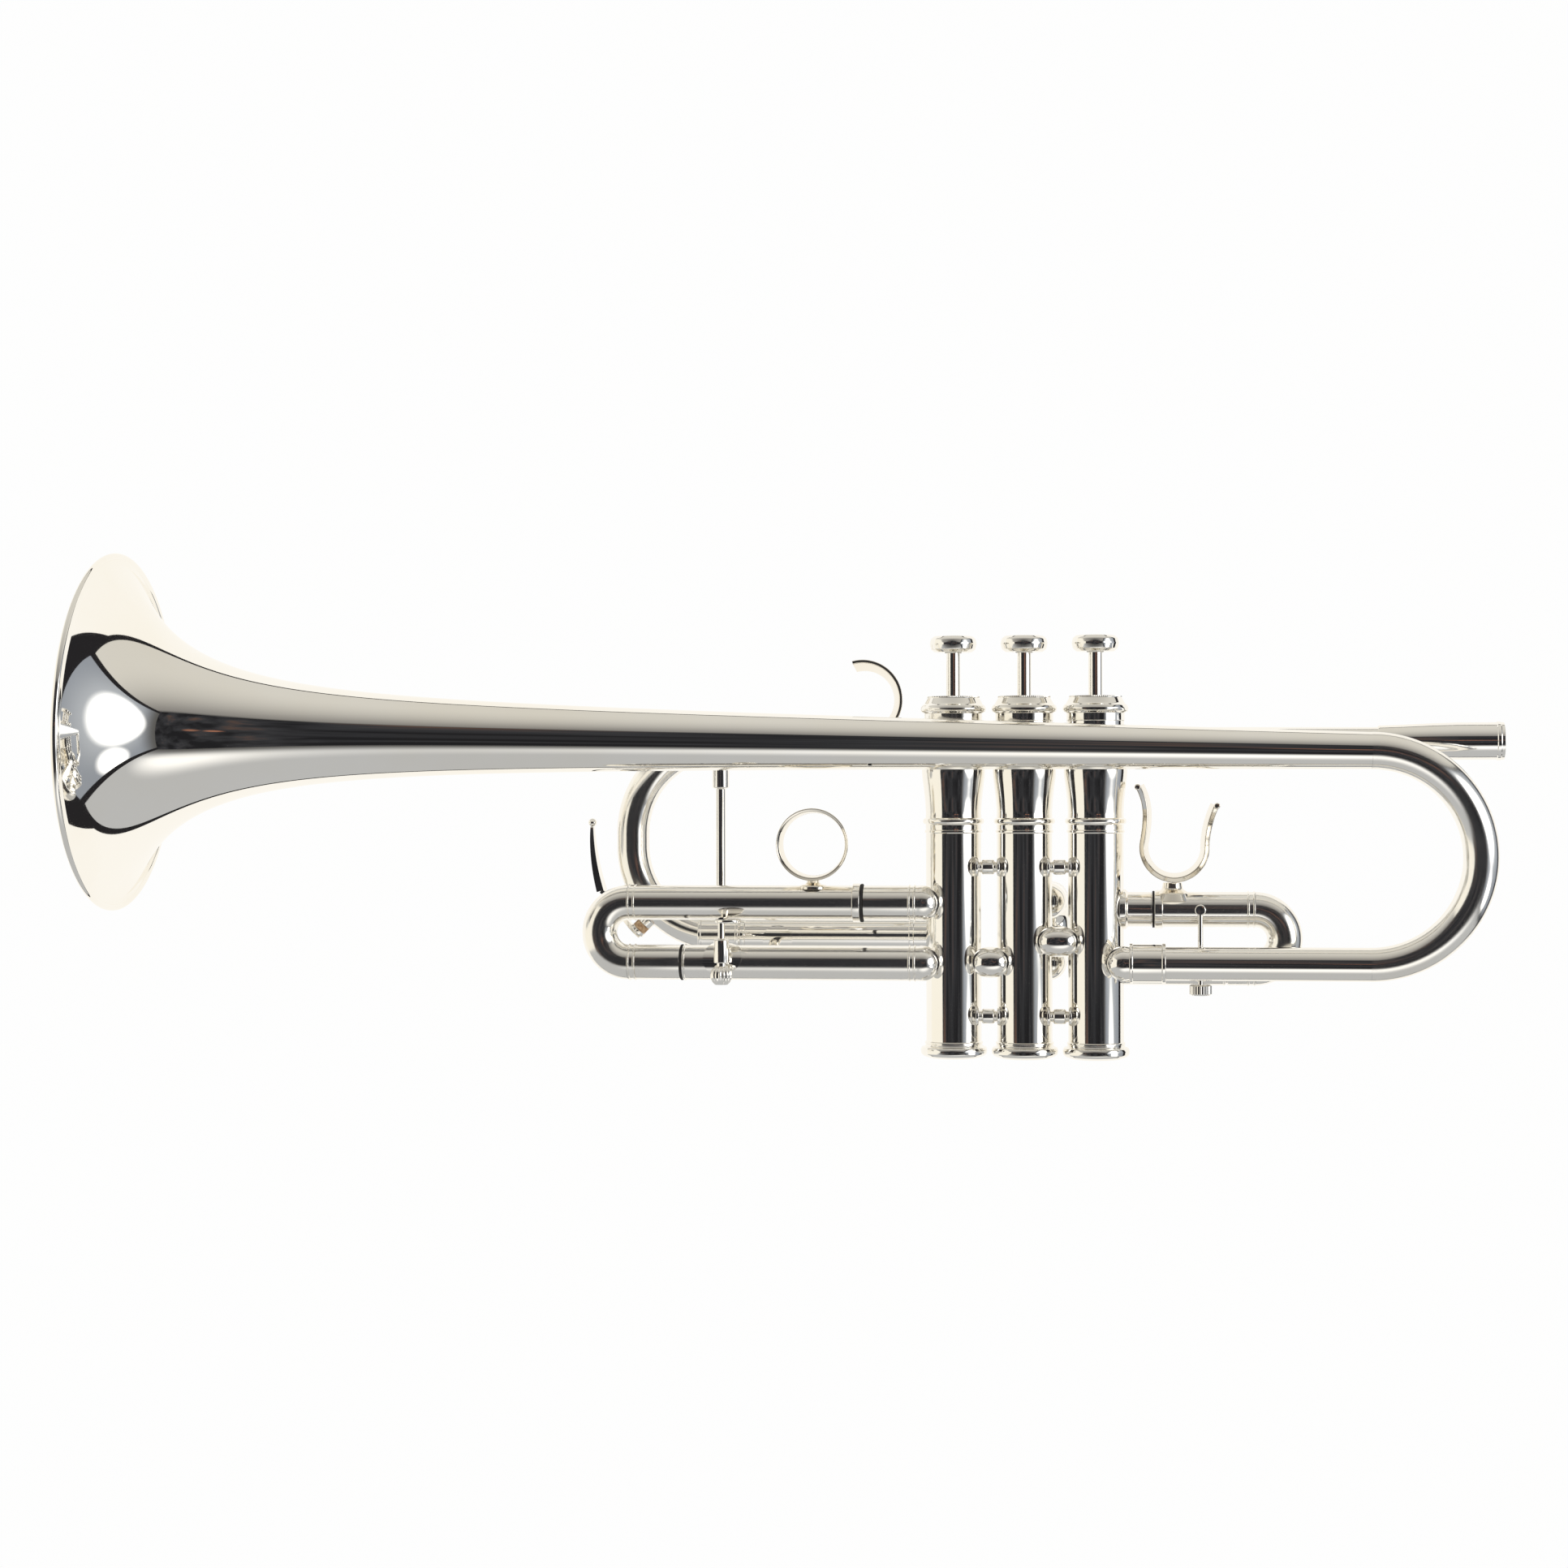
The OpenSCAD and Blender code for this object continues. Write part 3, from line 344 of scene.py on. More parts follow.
def ring_of(radius, count=ROUND):
    """A round section."""
    return [(radius * math.cos(a), radius * math.sin(a))
            for a in (2 * math.pi * k / count for k in range(count))]


def strap(thick, width, slant=0.0, bevel=0.0):
    """A flat strip's section with rounded edges. slant moves its far edge outward, and bevel
    sets the inner corner of its near edge back."""
    r = min(thick / 2, 0.35)
    count = 6
    u, v = thick / 2 - r, width / 2 - r
    out = []
    for quarter, (cu, cv) in enumerate(((u, v), (-u, v), (-u, bevel - v), (u, -v))):
        for k in range(count + 1):
            a = math.pi / 2 * (quarter + k / count)
            x, y = cu + r * math.cos(a), cv + r * math.sin(a)
            out.append((x + slant * (y / width + 0.5), y))
    return out


def arc_path(centre, radius, start, end, steps):
    """Points on an arc in the X-Z plane."""
    cx, cy, cz = centre
    angles = [math.radians(start + (end - start) * k / steps) for k in range(steps + 1)]
    return [Vector((cx + radius * math.cos(a), cy, cz + radius * math.sin(a))) for a in angles]


def knurled(low, high, radius, seat, teeth=26, depth=0.16, outline=None):
    """A turned knob with a straight knurl round it, on an upright axis. outline is (height,
    radius) above low, for a knob that bulges."""
    if outline:
        levels = [(low, 0, 0)] + [(low + z, r, 1) for z, r in outline] + [(high, 0, 0)]
    else:
        levels = [(low, 0, 0), (low, radius - 0.6, 0), (low + 0.5, radius, 1),
                  (high - 0.5, radius, 1), (high, radius - 0.6, 0), (high, 0, 0)]
    count = teeth * 8
    verts, faces = [], []
    for z, r, cut in levels:
        for k in range(count):
            a = 2 * math.pi * k / count
            rr = r - cut * depth * (0.5 + 0.5 * math.cos(teeth * a))
            verts.append(Vector((seat[0] + rr * math.cos(a), seat[1] + rr * math.sin(a), z)) * MM)
    for i in range(len(levels) - 1):
        for k in range(count):
            n = (k + 1) % count
            faces.append((i * count + k, (i + 1) * count + k, (i + 1) * count + n, i * count + n))
    return verts, faces


def plate_on_tube(x, y, z, above, disc_r, tube_r, lift):
    """A thin round flange that follows the front of a tube along X. above is how far its
    centre lies above the tube's middle line."""
    count, rings = 64, 10
    verts, faces = [], []
    for sheet, radius in ((0, tube_r + lift), (1, tube_r - 0.4)):
        base = len(verts)
        for i in range(rings + 1):
            for k in range(count):
                a = 2 * math.pi * k / count
                rr = disc_r * max(i / rings, 0.001)
                turn = (rr * math.sin(a) + above) / tube_r
                verts.append(Vector((x + rr * math.cos(a), y - radius * math.cos(turn),
                                     z + radius * math.sin(turn))) * MM)
        for i in range(rings):
            for k in range(count):
                n = (k + 1) % count
                near, far = base + i * count, base + (i + 1) * count
                quad = (near + k, far + k, far + n, near + n)
                faces.append(quad if sheet else tuple(reversed(quad)))
    edge = rings * count
    other = (rings + 1) * count + edge
    for k in range(count):
        n = (k + 1) % count
        faces.append((edge + k, edge + n, other + n, other + k))
    return verts, faces


def knuckle(ball, z, axis_x, ball_r, tube_r, tube_x, neck_r):
    """A ball beside a casing, the tube that leaves it along X, and its neck to the valve."""
    away = 1 if tube_x > ball[0] else -1
    meet = math.asin(min(1, tube_r / ball_r))
    cap = [(ball[0] - away * ball_r * math.cos(a), ball_r * math.sin(a))
           for a in ((math.pi - meet) * k / 40 for k in range(41))]
    outline = cap + [(tube_x, tube_r), (tube_x, 0)]
    length = math.hypot(ball[0] - axis_x, ball[1])
    neck = rod(4, length, neck_r)
    place = (Matrix.Translation((axis_x, 0, z))
             @ Matrix.Rotation(math.atan2(ball[1], ball[0] - axis_x), 4, "Z"))
    return [lathe(outline, (0, ball[1], z)), placed(neck, place)]


def make_u_bow(name, x, y, z, drop, side, ferrule, body, node):
    """A half-circle bow with a pair of raised lines on each of its short legs."""
    path = [Vector((x + side * drop / 2 * math.sin(a), y, z - drop / 2 + drop / 2 * math.cos(a)))
            for a in (math.pi * k / 96 for k in range(97))]
    parts = [sweep(path, (0, 1, 0), ring_of(SLEEVE_R))]
    low, high = min(x, ferrule), max(x, ferrule)
    for leg_z in (z, z - drop):
        leg = beaded(low, high, SLEEVE_R, INNER_RI, (low + 0.35, high - 0.35), rise=0.3)
        parts.append(lathe(leg, (0, y, leg_z)))
    joined(name, parts, "drawn_silver", body, (node,))


def centre_of(node):
    low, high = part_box(node)
    return (low + high) / 2 / MM


def low_of(node):
    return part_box(node)[0] / MM


def high_of(node):
    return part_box(node)[1] / MM


# ---- Layout ----------------------------------------------------------------------------

VALVE_X = {k: centre_of(f"valve_casing_{k}").x for k in (1, 2, 3)}
CASING_R = 9.5
SLEEVE_R, SLEEVE_RI = 6.0, 5.65
INNER_R, INNER_RI = 5.6, 5.25
BAND_RI = 5.0

LEAD_Y, LEAD_Z = 19.5, 46.4
MAIN_DROP = 67.7
MAIN_LOW_Z = LEAD_Z - MAIN_DROP
MAIN_R, MAIN_ARC = 5.75, 31.5
MAIN_ARC_X = -145.6 + MAIN_R + MAIN_ARC
MAIN_ARC_Z = MAIN_LOW_Z + MAIN_ARC
MAIN_LEG_END = -62
SLEEVE_END = -101

THIRD_Y, THIRD_Z, THIRD_DROP = -10.0, -8.8, 20.6
THIRD_LOW_Z = THIRD_Z - THIRD_DROP
THIRD_ROOT, THIRD_SHOULDER, THIRD_COLLAR = -36.7, -54.6, -55.6
THIRD_FERRULE, THIRD_BOW, THIRD_SLEEVE = -133.6, -136.3, -117.2
THIRD_BALL = (VALVE_X[3] - 10.3, THIRD_Y)
THIRD_BALL_R, THIRD_NECK_R = 6.1, 2.2
THIRD_LINES = (-38.8, -37.0)

FIRST_Y, FIRST_Z, FIRST_DROP = 1.0, -11.1, 19.9
FIRST_LOW_Z = FIRST_Z - FIRST_DROP
FIRST_BOW, FIRST_FERRULE, FIRST_COLLAR = 78.5, 75.8, 44.4


# ---- Bell ------------------------------------------------------------------------------

RIM_X, RIM_R, RIM_ROLL = -317.6, 62.5, 1.2
WIRE_R = 0.7
FLARE_R, FLARE_LEN, FLARE_POWER = 49.9, 65.3, 2.915
BELL_WALL = 0.6
BELL_TILT = math.radians(1.05)
BELL_END_R, TAIL_R = 6.25, 5.7
BELL_Y, TAIL_Y, TAIL_Z = -20.0, -13.6, -28.9
SOCKET_X, TAIL_X = 36, 48
SOCKET_R, SOCKET_BEAD_R, SOCKET_RI = 6.5, 6.85, 5.1
BOW_R = 36.0
BOW_X = low_of("bell_bow").x
BOW_DROP = 2 * BOW_R * math.cos(math.atan((TAIL_Y - BELL_Y) / (2 * BOW_R)))
BOW_TOP = Vector((BOW_X, BELL_Y, TAIL_Z + BOW_DROP))
BOW_FOOT = Vector((BOW_X, TAIL_Y, TAIL_Z))
BELL_LEN = (BOW_X - RIM_X) / math.cos(BELL_TILT)
STEM_R = RIM_R - FLARE_R
STEM_TAPER = (STEM_R - BELL_END_R + 0.2) / BELL_LEN


def bell_radius(d):
    """Outer radius at a distance d behind the rim."""
    flare = FLARE_R * (FLARE_LEN / (d + FLARE_LEN)) ** FLARE_POWER
    return flare + STEM_R - STEM_TAPER * d


def make_bell():
    first = 2.0
    steps = [first * (BELL_LEN / first) ** (k / 150) for k in range(151)]
    roll = [Vector((RIM_ROLL + RIM_ROLL * math.cos(a), RIM_R - RIM_ROLL + RIM_ROLL * math.sin(a)))
            for a in (math.radians(-58 + 293 * k / 28) for k in range(29))]
    outside = [Vector((d, bell_radius(d))) for d in reversed(steps)]
    inside = [Vector((d, bell_radius(d) - BELL_WALL * (1.25 if d < 60 else 1))) for d in steps]
    outline = outside + roll + inside + [outside[0]]
    place = Matrix.Translation(BOW_TOP) @ Matrix.Rotation(BELL_TILT, 4, "Y")
    bell = lathe([(p.x - BELL_LEN, p.y) for p in outline], count=256)
    joined("bell_flare_and_stem", [placed(bell, place)], "bell_silver", "horn", ("bell",))
    wire = lathe([(RIM_ROLL - BELL_LEN + WIRE_R * math.cos(a),
                   RIM_R - RIM_ROLL + WIRE_R * math.sin(a))
                  for a in (2 * math.pi * k / 16 for k in range(17))])
    joined("rim_wire", [placed(wire, place)], "wire_steel", "horn", ("bell_rim_wire",))


def make_bell_bow():
    """The bow leans, because the tail lies further from the player's left than the bell."""
    up = (BOW_TOP - BOW_FOOT).normalized()
    middle = (BOW_TOP + BOW_FOOT) / 2
    along = Vector((1, 0, 0))
    path = [middle + (along * math.cos(a) + up * math.sin(a)) * BOW_R
            for a in (math.pi / 2 - math.pi * k / 160 for k in range(161))]
    thin = TAIL_R / BELL_END_R
    tube = sweep(path, along.cross(up), ring_of(BELL_END_R), grow=lambda t: 1 - (1 - thin) * t)
    joined("bell_bow_tube", [tube], "drawn_silver", "horn", ("bell_bow",))


def make_tail():
    seat = (0, TAIL_Y, TAIL_Z)
    inner = TAIL_R - BELL_WALL
    tube = lathe([(TAIL_X, inner), (TAIL_X, TAIL_R), (BOW_X, TAIL_R), (BOW_X, inner),
                  (TAIL_X, inner)], seat)
    joined("bell_tail_tube", [tube], "tube_silver", "horn", ("bell_tail",))
    socket = rounded([(SOCKET_X, SOCKET_RI), (SOCKET_X, SOCKET_BEAD_R, 0.3),
                      (37, SOCKET_BEAD_R, 0.25), (37.2, SOCKET_R, 0.15), (46.9, SOCKET_R, 0.15),
                      (47.1, SOCKET_BEAD_R, 0.25), (48.2, SOCKET_BEAD_R, 0.3),
                      (48.2, SOCKET_RI), (SOCKET_X, SOCKET_RI)])
    joined("bell_tail_socket", [lathe(socket, seat)], "bell_silver", "horn",
           ("bell_tail_ferrule",))


def make_bell_knuckle():
    ball = (VALVE_X[1] + 9.7, TAIL_Y)
    joined("bell_knuckle", knuckle(ball, TAIL_Z, VALVE_X[1], 5.9, TAIL_R, SOCKET_X, 2.4),
           "bell_silver", "horn", ("bell_tail_knuckle",))


# ---- Leadpipe and receiver -------------------------------------------------------------

def make_leadpipe():
    seat = (0, LEAD_Y, LEAD_Z)
    start, end, inner = -41, 123, 4.3
    taper = curved([(start, 5.4), (-10, 5.4), (20, 5.38), (70, 5.15), (end, 4.9)], 6)
    outline = [(start, inner)] + [tuple(p) for p in taper] + [(end, inner), (start, inner)]
    joined("leadpipe_tube", [lathe(outline, seat)], "tube_silver", "horn", ("leadpipe",))
    lip = high_of("mouthpiece_receiver").x
    bore, body = 4.9, 6.45
    outline = (rounded([(121, 4.95), (121, 5.25, 0.3), (121.8, 5.55, 0.3)])
               + curved([(122, 5.5), (127, 5.65), (134, 5.95), (141, 6.25), (147, 6.42),
                         (149, body)], 6)
               + rounded([(149, body), (lip - 2.7, body), (lip - 2.4, 6.7, 0.15),
                          (lip - 1.4, 6.7, 0.15), (lip - 1.1, 6.5, 0.15), (lip - 0.1, body, 0.1),
                          (lip, 6.2, 0.1), (lip, bore), (lip - 24, bore), (lip - 24, inner),
                          (end, inner), (121, 4.95)]))
    joined("receiver_tube", [lathe(outline, seat)], "tube_silver", "horn",
           ("mouthpiece_receiver",))


# ---- Valves ----------------------------------------------------------------------------

CASING_LOW, CASING_TOP, CASING_RI = -57.4, 58.0, 8.45
CAP_LOW, CAP_TOP = -62.6, 62.2
KNURL_LOW, KNURL_R = 61.6, 9.08
BUTTON_LOW, BUTTON_TOP = 77.4, 83.2
FELT_LOW, FELT_TOP = 77.1, 77.75
STEM_ROD_R = 2.4

# Outlines are (height, radius, corner radius).
CASING = [(CASING_LOW, CASING_RI), (CASING_LOW, CASING_R, 0.2), (15.0, CASING_R),
          (15.3, 9.9, 0.2), (16.0, 9.9, 0.2), (16.2, 9.58, 0.1), (18.0, 9.58, 0.2),
          (18.4, 10.35, 0.5), (19.1, 10.55, 0.5), (19.9, 10.35, 0.5), (20.3, 9.62, 0.2),
          (20.4, 9.62)]
BALUSTER = [(20.4, 9.62), (22.4, 9.55), (26.4, 9.8), (30.4, 10.25), (34.4, 10.75), (37, 10.9),
            (40, 10.72), (43, 10.25), (46, 9.9), (49, 9.8), (54, 9.8)]
TOP_CAP = [(60.9, 2.9), (CAP_TOP, 2.9, 0.2), (CAP_TOP - 0.25, 5.2, 1), (CAP_TOP - 0.1, 8.2, 1),
           (61.9, 8.95, 0.2), (61.5, 9.05, 0.1), (59.5, 10.1, 1.5), (58.9, 10.9, 0.7),
           (57.9, 11.3, 0.8), (56.9, 11.1, 0.6), (56.3, 9.95, 0.3), (53.5, 9.95, 0.3),
           (53.4, 9.5), (60.9, 8.4), (60.9, 2.9)]
BOTTOM_CAP = [(CAP_LOW + 0.35, 0), (CAP_LOW + 0.3, 2.4, 0.5), (CAP_LOW, 3.6, 0.8),
              (CAP_LOW + 0.15, 8.4, 3), (-61.6, 10.6, 1.2), (-60.9, 11.3, 0.7),
              (-59.6, 11.45, 0.8), (-58.6, 11.1, 0.7), (-58.3, 10.0, 0.35), (-57.7, 9.75, 0.2),
              (-57.3, 10.0, 0.25), (-56.8, 9.95, 0.25), (-56.6, 9.5)]
BUTTON = [(BUTTON_LOW + 0.3, 0), (BUTTON_LOW + 0.3, 2.6), (BUTTON_LOW, 3.0, 0.3),
          (BUTTON_LOW, 6.4, 0.5), (78.3, 7.6, 0.9), (80.2, 8.1, 1.6), (82.0, 7.7, 1.2),
          (82.9, 6.6, 0.9), (BUTTON_TOP - 0.2, 5.0, 3), (BUTTON_TOP, 2, 4), (BUTTON_TOP, 0)]
FELT = [(FELT_LOW, 2.45), (FELT_LOW, 2.9, 0.15), (FELT_TOP, 2.9, 0.15), (FELT_TOP, 2.45),
        (FELT_LOW, 2.45)]


def casing_outline():
    neck = [tuple(p) for p in curved(BALUSTER)[1:]]
    top = [(CASING_TOP, 9.3), (CASING_TOP, CASING_RI), (CASING_LOW, CASING_RI)]
    return [tuple(p) for p in rounded(CASING)] + neck + top


def make_valves():
    for k, x in VALVE_X.items():
        for name, outline, look, body, node in (
                ("casing", casing_outline(), "tube_silver", "horn", "valve_casing"),
                ("button", rounded(BUTTON, 8), "turned_silver", f"valve_{k}", "finger_button"),
                ("felt", rounded(FELT), "felt", f"valve_{k}", "button_felt")):
            joined(f"{name}_{k}", [lathe(outline, (x, 0, 0), "Z")], look, body, (f"{node}_{k}",))
    knurls = [knurled(KNURL_LOW, CAP_TOP, KNURL_R, (x, 0), 80) for x in VALVE_X.values()]
    joined("cap_knurls", knurls, "turned_silver", "horn")
    for name, outline in (("top_caps", TOP_CAP), ("bottom_caps", BOTTOM_CAP)):
        caps = [lathe(rounded(outline, 6), (x, 0, 0), "Z") for x in VALVE_X.values()]
        joined(name, caps, "turned_silver", "horn", (f"valve_{name}",))


def make_stems():
    for k, x in VALVE_X.items():
        node = f"valve_stem_{k}"
        stem = rod(low_of(node).z, high_of(node).z, STEM_ROD_R, (x, 0, 0), "Z")
        joined(f"stem_{k}", [stem], "turned_silver", f"valve_{k}", (node,))


def make_crossovers():
    """The fat balls between the casings, and the small turned spools above and below them."""
    gap_12, gap_23 = ((VALVE_X[a] + VALVE_X[b]) / 2 for a, b in ((1, 2), (2, 3)))
    balls = [lathe(barrel(6.3, 5.3), (gap_23 + 1.0, -8.6, -29.0)),
             lathe(barrel(7.0, 5.3), (gap_12 - 0.5, -8.6, -21.8))]
    joined("crossover_knuckles", balls, "turned_silver", "horn", ("crossover_tubes",))
    side = [(4.9, 0), (4.9, 1.6), (4.4, 2.3, 0.2), (4.1, 3.3, 0.3), (3.2, 3.3, 0.3),
            (2.9, 2.0, 0.3), (2.4, 1.8, 0.3), (1.8, 2.6, 0.8)]
    spool = [(-x, *rest) for x, *rest in side] + side[::-1]
    spools = [lathe(rounded(spool), (x, -6, z)) for x in (gap_12, gap_23) for z in (3.5, -47.6)]
    joined("casing_spools", spools, "turned_silver", "horn", ("casing_braces",))


# ---- Third valve slide -----------------------------------------------------------------

def make_third_slide():
    seat, low_seat = (0, THIRD_Y, THIRD_Z), (0, THIRD_Y, THIRD_LOW_Z)
    upper, lower = (knuckle(THIRD_BALL, z, VALVE_X[3], THIRD_BALL_R, SLEEVE_R, THIRD_ROOT,
                            THIRD_NECK_R) for z in (THIRD_Z, THIRD_LOW_Z))
    upper += [lathe(beaded(THIRD_SHOULDER, THIRD_ROOT, SLEEVE_R, INNER_RI, THIRD_LINES), seat),
              lathe(beaded(-126, THIRD_SHOULDER, INNER_R, INNER_RI), seat)]
    joined("third_upper_fixed", upper, "drawn_silver", "horn", ("third_slide_fixed_tube",))
    lower.append(lathe(beaded(THIRD_SLEEVE, THIRD_ROOT, SLEEVE_R, SLEEVE_RI,
                              (THIRD_SLEEVE + 0.7, *THIRD_LINES)), low_seat))
    joined("third_lower_fixed", lower, "drawn_silver", "horn", ("third_slide_sleeve",))

    collar = rounded([(THIRD_FERRULE, SLEEVE_RI), (THIRD_FERRULE, SLEEVE_R), (-58.4, SLEEVE_R),
                      (-58.2, 6.7, 0.3), (THIRD_COLLAR, 6.7, 0.35), (THIRD_COLLAR, SLEEVE_RI),
                      (THIRD_FERRULE, SLEEVE_RI)])
    legs = [lathe(collar, seat),
            lathe(beaded(THIRD_FERRULE, THIRD_SLEEVE - 0.8, SLEEVE_R, INNER_R - 0.1), low_seat),
            lathe(beaded(THIRD_FERRULE, -48, INNER_R, INNER_RI), low_seat)]
    joined("third_moving_legs", legs, "drawn_silver", "third_slide", ("third_slide_tubes",))
    make_u_bow("third_bow", THIRD_BOW, THIRD_Y, THIRD_Z, THIRD_DROP, -1, THIRD_FERRULE,
               "third_slide", "third_slide_bow")


def make_ring():
    middle = Vector((centre_of("third_finger_ring").x, THIRD_Y, 11.3))
    radius, thick, width = 12.5, 1.15, 7.0
    path = [middle + Vector((math.cos(a), 0, math.sin(a))) * (radius - thick / 2)
            for a in (2 * math.pi * k / ROUND for k in range(ROUND))]
    ring = sweep(path, (0, 1, 0), strap(thick, width, -0.7, 0.3), closed=True)
    top = middle.z - radius + 0.4
    low = THIRD_Z + SLEEVE_R - 1.2
    foot = lathe(rounded([(low, 0), (low, 5.0), (low + 1.3, 4.7, 0.8), (low + 1.7, 2.4, 1.2),
                          (top, 2.0, 0.2), (top, 0)], 8), (middle.x, THIRD_Y, 0), "Z")
    joined("finger_ring", [ring, foot], "handled_silver", "third_slide", ("third_finger_ring",))


def make_third_stop():
    screw = centre_of("third_stop_screw")
    x, y = screw.x + 2.4, screw.y
    top = THIRD_Z - SLEEVE_R
    low = THIRD_Z - 20.2
    arm = lathe(rounded([(low, 0), (low, 2.6, 0.35), (low + 8, 2.6, 0.5), (low + 8.3, 1.2, 0.2),
                         (top + 0.6, 1.2), (top + 0.6, 0)]), (x, y, 0), "Z")
    foot = lathe(rounded([(top - 0.6, 0), (top - 0.6, 4.4, 0.4), (top + 0.7, 4.6, 0.4),
                          (top + 0.7, 0)]), (x + 2, y + 2.4, 0), "Z")
    bridge = rod(y - 0.2, THIRD_Y, 1.3, (x, 0, top + 0.1), "Y")
    joined("third_stop_post", [arm, foot, bridge], "tube_silver", "third_slide",
           ("third_stop_arm",))
    nut = knurled(low - 7.4, low - 1.0, 3.8, (x, y), 18, 0.3,
                  ((0, 2.2), (0.9, 3.1), (2.2, 3.7), (3.4, 3.8), (4.8, 3.5), (5.8, 2.7),
                   (6.4, 1.6)))
    neck = rod(low - 1.4, low, 1.6, (x, y, 0), "Z")
    joined("third_stop_nut", [nut, neck], "turned_silver", "third_slide", ("third_stop_screw",))


# ---- First valve slide -----------------------------------------------------------------

def make_first_slide():
    seat, low_seat = (0, FIRST_Y, FIRST_Z), (0, FIRST_Y, FIRST_LOW_Z)
    root = VALVE_X[1] + 8
    upper = rounded([(root, INNER_RI), (root, 6.9, 0.4), (root + 2.2, 6.9, 0.5),
                     (root + 2.9, 5.9, 0.5), (43.4, 5.9, 0.2), (43.4, INNER_R),
                     (FIRST_BOW - 6, INNER_R, 0.1), (FIRST_BOW - 6, INNER_RI), (root, INNER_RI)])
    joined("first_upper_fixed", [lathe(upper, seat)], "drawn_silver", "horn",
           ("first_slide_fixed_tube",))
    lower = beaded(root, FIRST_BOW - 10, SLEEVE_R, SLEEVE_RI, (FIRST_BOW - 10.6,), rise=0.15)
    joined("first_lower_fixed", [lathe(lower, low_seat)], "tube_silver", "horn",
           ("first_slide_sleeve",))
    collar = rounded([(FIRST_COLLAR, SLEEVE_RI), (FIRST_COLLAR, 6.55, 0.3),
                      (FIRST_COLLAR + 2.7, 6.55, 0.3), (FIRST_COLLAR + 2.9, SLEEVE_R),
                      (FIRST_FERRULE, SLEEVE_R), (FIRST_FERRULE, SLEEVE_RI),
                      (FIRST_COLLAR, SLEEVE_RI)])
    legs = [lathe(collar, seat),
            lathe(beaded(FIRST_BOW - 9.4, FIRST_FERRULE, SLEEVE_R, INNER_R - 0.1), low_seat),
            lathe(beaded(44, FIRST_FERRULE, INNER_R, INNER_RI), low_seat)]
    joined("first_moving_legs", legs, "drawn_silver", "first_slide", ("first_slide_tubes",))
    make_u_bow("first_bow", FIRST_BOW, FIRST_Y, FIRST_Z, FIRST_DROP, 1, FIRST_FERRULE,
               "first_slide", "first_slide_bow")


def make_saddle():
    foot_x, foot_z = 50.5, -1.9
    radius = 11.2
    cx, cz = foot_x + 0.7, foot_z + radius + 0.8
    left = [Vector((cx - radius + 0.14 + 3.2 * t - 4.6 * t ** 3, FIRST_Y, cz + 1.7 + 19 * t))
            for t in (1 - k / 24 for k in range(24))]
    right = [Vector((cx + radius + 0.1 * t + 3.2 * t * t, FIRST_Y, cz + 14.2 * t))
             for t in (k / 24 for k in range(1, 25))]
    path = left + arc_path((cx, FIRST_Y, cz), radius, 171, 360, 90) + right
    cradle = sweep(path, (0, 1, 0), strap(1.6, 9, -1.6, 1.2))
    tip = rounded([(-4.4, 0), (-4.4, 1.05, 0.4), (4.4, 1.05, 0.4), (4.4, 0)])
    tips = [lathe(tip, (end.x, FIRST_Y, end.z), "Y", 48) for end in (path[0], path[-1])]
    low = FIRST_Z + SLEEVE_R - 3.0
    foot = lathe(rounded([(low, 0), (low, 7.0), (low + 2.6, 5.8, 1.2), (low + 3.9, 3.6, 1.2),
                          (foot_z, 3.2, 0.2), (foot_z, 0)], 8), (foot_x, FIRST_Y, 0), "Z")
    joined("thumb_saddle", [cradle, foot] + tips, "handled_silver", "first_slide",
           ("first_thumb_saddle",))


def make_first_stop():
    x, y = 59.9, FIRST_Y - 7.3
    wire = rod(-38, FIRST_Z + 1, 0.9, (x, y, 0), "Z")
    boss = lathe(rounded([(y - 0.9, 0), (y - 0.9, 1.9, 0.5), (FIRST_Y, 1.9), (FIRST_Y, 0)]),
                 (x, 0, FIRST_Z), "Y")
    joined("first_stop_rod", [wire, boss, knurled(-40, -36.3, 3.8, (x, y))], "turned_silver",
           "first_slide", ("first_stop_arm",))


# ---- Main tuning slide -----------------------------------------------------------------

def make_main_sleeves():
    mouth = [(SLEEVE_END, SLEEVE_RI), (SLEEVE_END, 6.35, 0.3), (-99.4, 6.35, 0.3),
             (-99.2, SLEEVE_R)]
    upper = mouth + [(-40.4, SLEEVE_R), (-40, 6.25, 0.2), (-37.4, 6.25, 0.3), (-37, 5.9, 0.2),
                     (-37, 5.4), (-41, 5.4), (-41, SLEEVE_RI), (SLEEVE_END, SLEEVE_RI)]
    joined("main_upper_sleeve", [lathe(rounded(upper), (0, LEAD_Y, LEAD_Z))], "tube_silver",
           "horn", ("main_slide_upper_sleeve",))
    bend = 10
    bend_x = VALVE_X[3] - bend
    lower = mouth + [(-41.2, SLEEVE_R), (-41, 6.3, 0.25), (-39.6, 6.3, 0.25),
                     (-39.4, SLEEVE_R), (bend_x, SLEEVE_R), (bend_x, SLEEVE_RI),
                     (SLEEVE_END, SLEEVE_RI)]
    path = [Vector((bend_x + bend * math.sin(a), LEAD_Y - bend + bend * math.cos(a), MAIN_LOW_Z))
            for a in (math.pi / 2 * k / 40 for k in range(41))]
    path.append(Vector((VALVE_X[3], LEAD_Y - bend - 4, MAIN_LOW_Z)))
    elbow = sweep(path, (0, 0, 1), ring_of(SLEEVE_R))
    joined("main_lower_sleeve", [lathe(rounded(lower), (0, LEAD_Y, MAIN_LOW_Z)), elbow],
           "tube_silver", "horn", ("main_slide_lower_sleeve",))


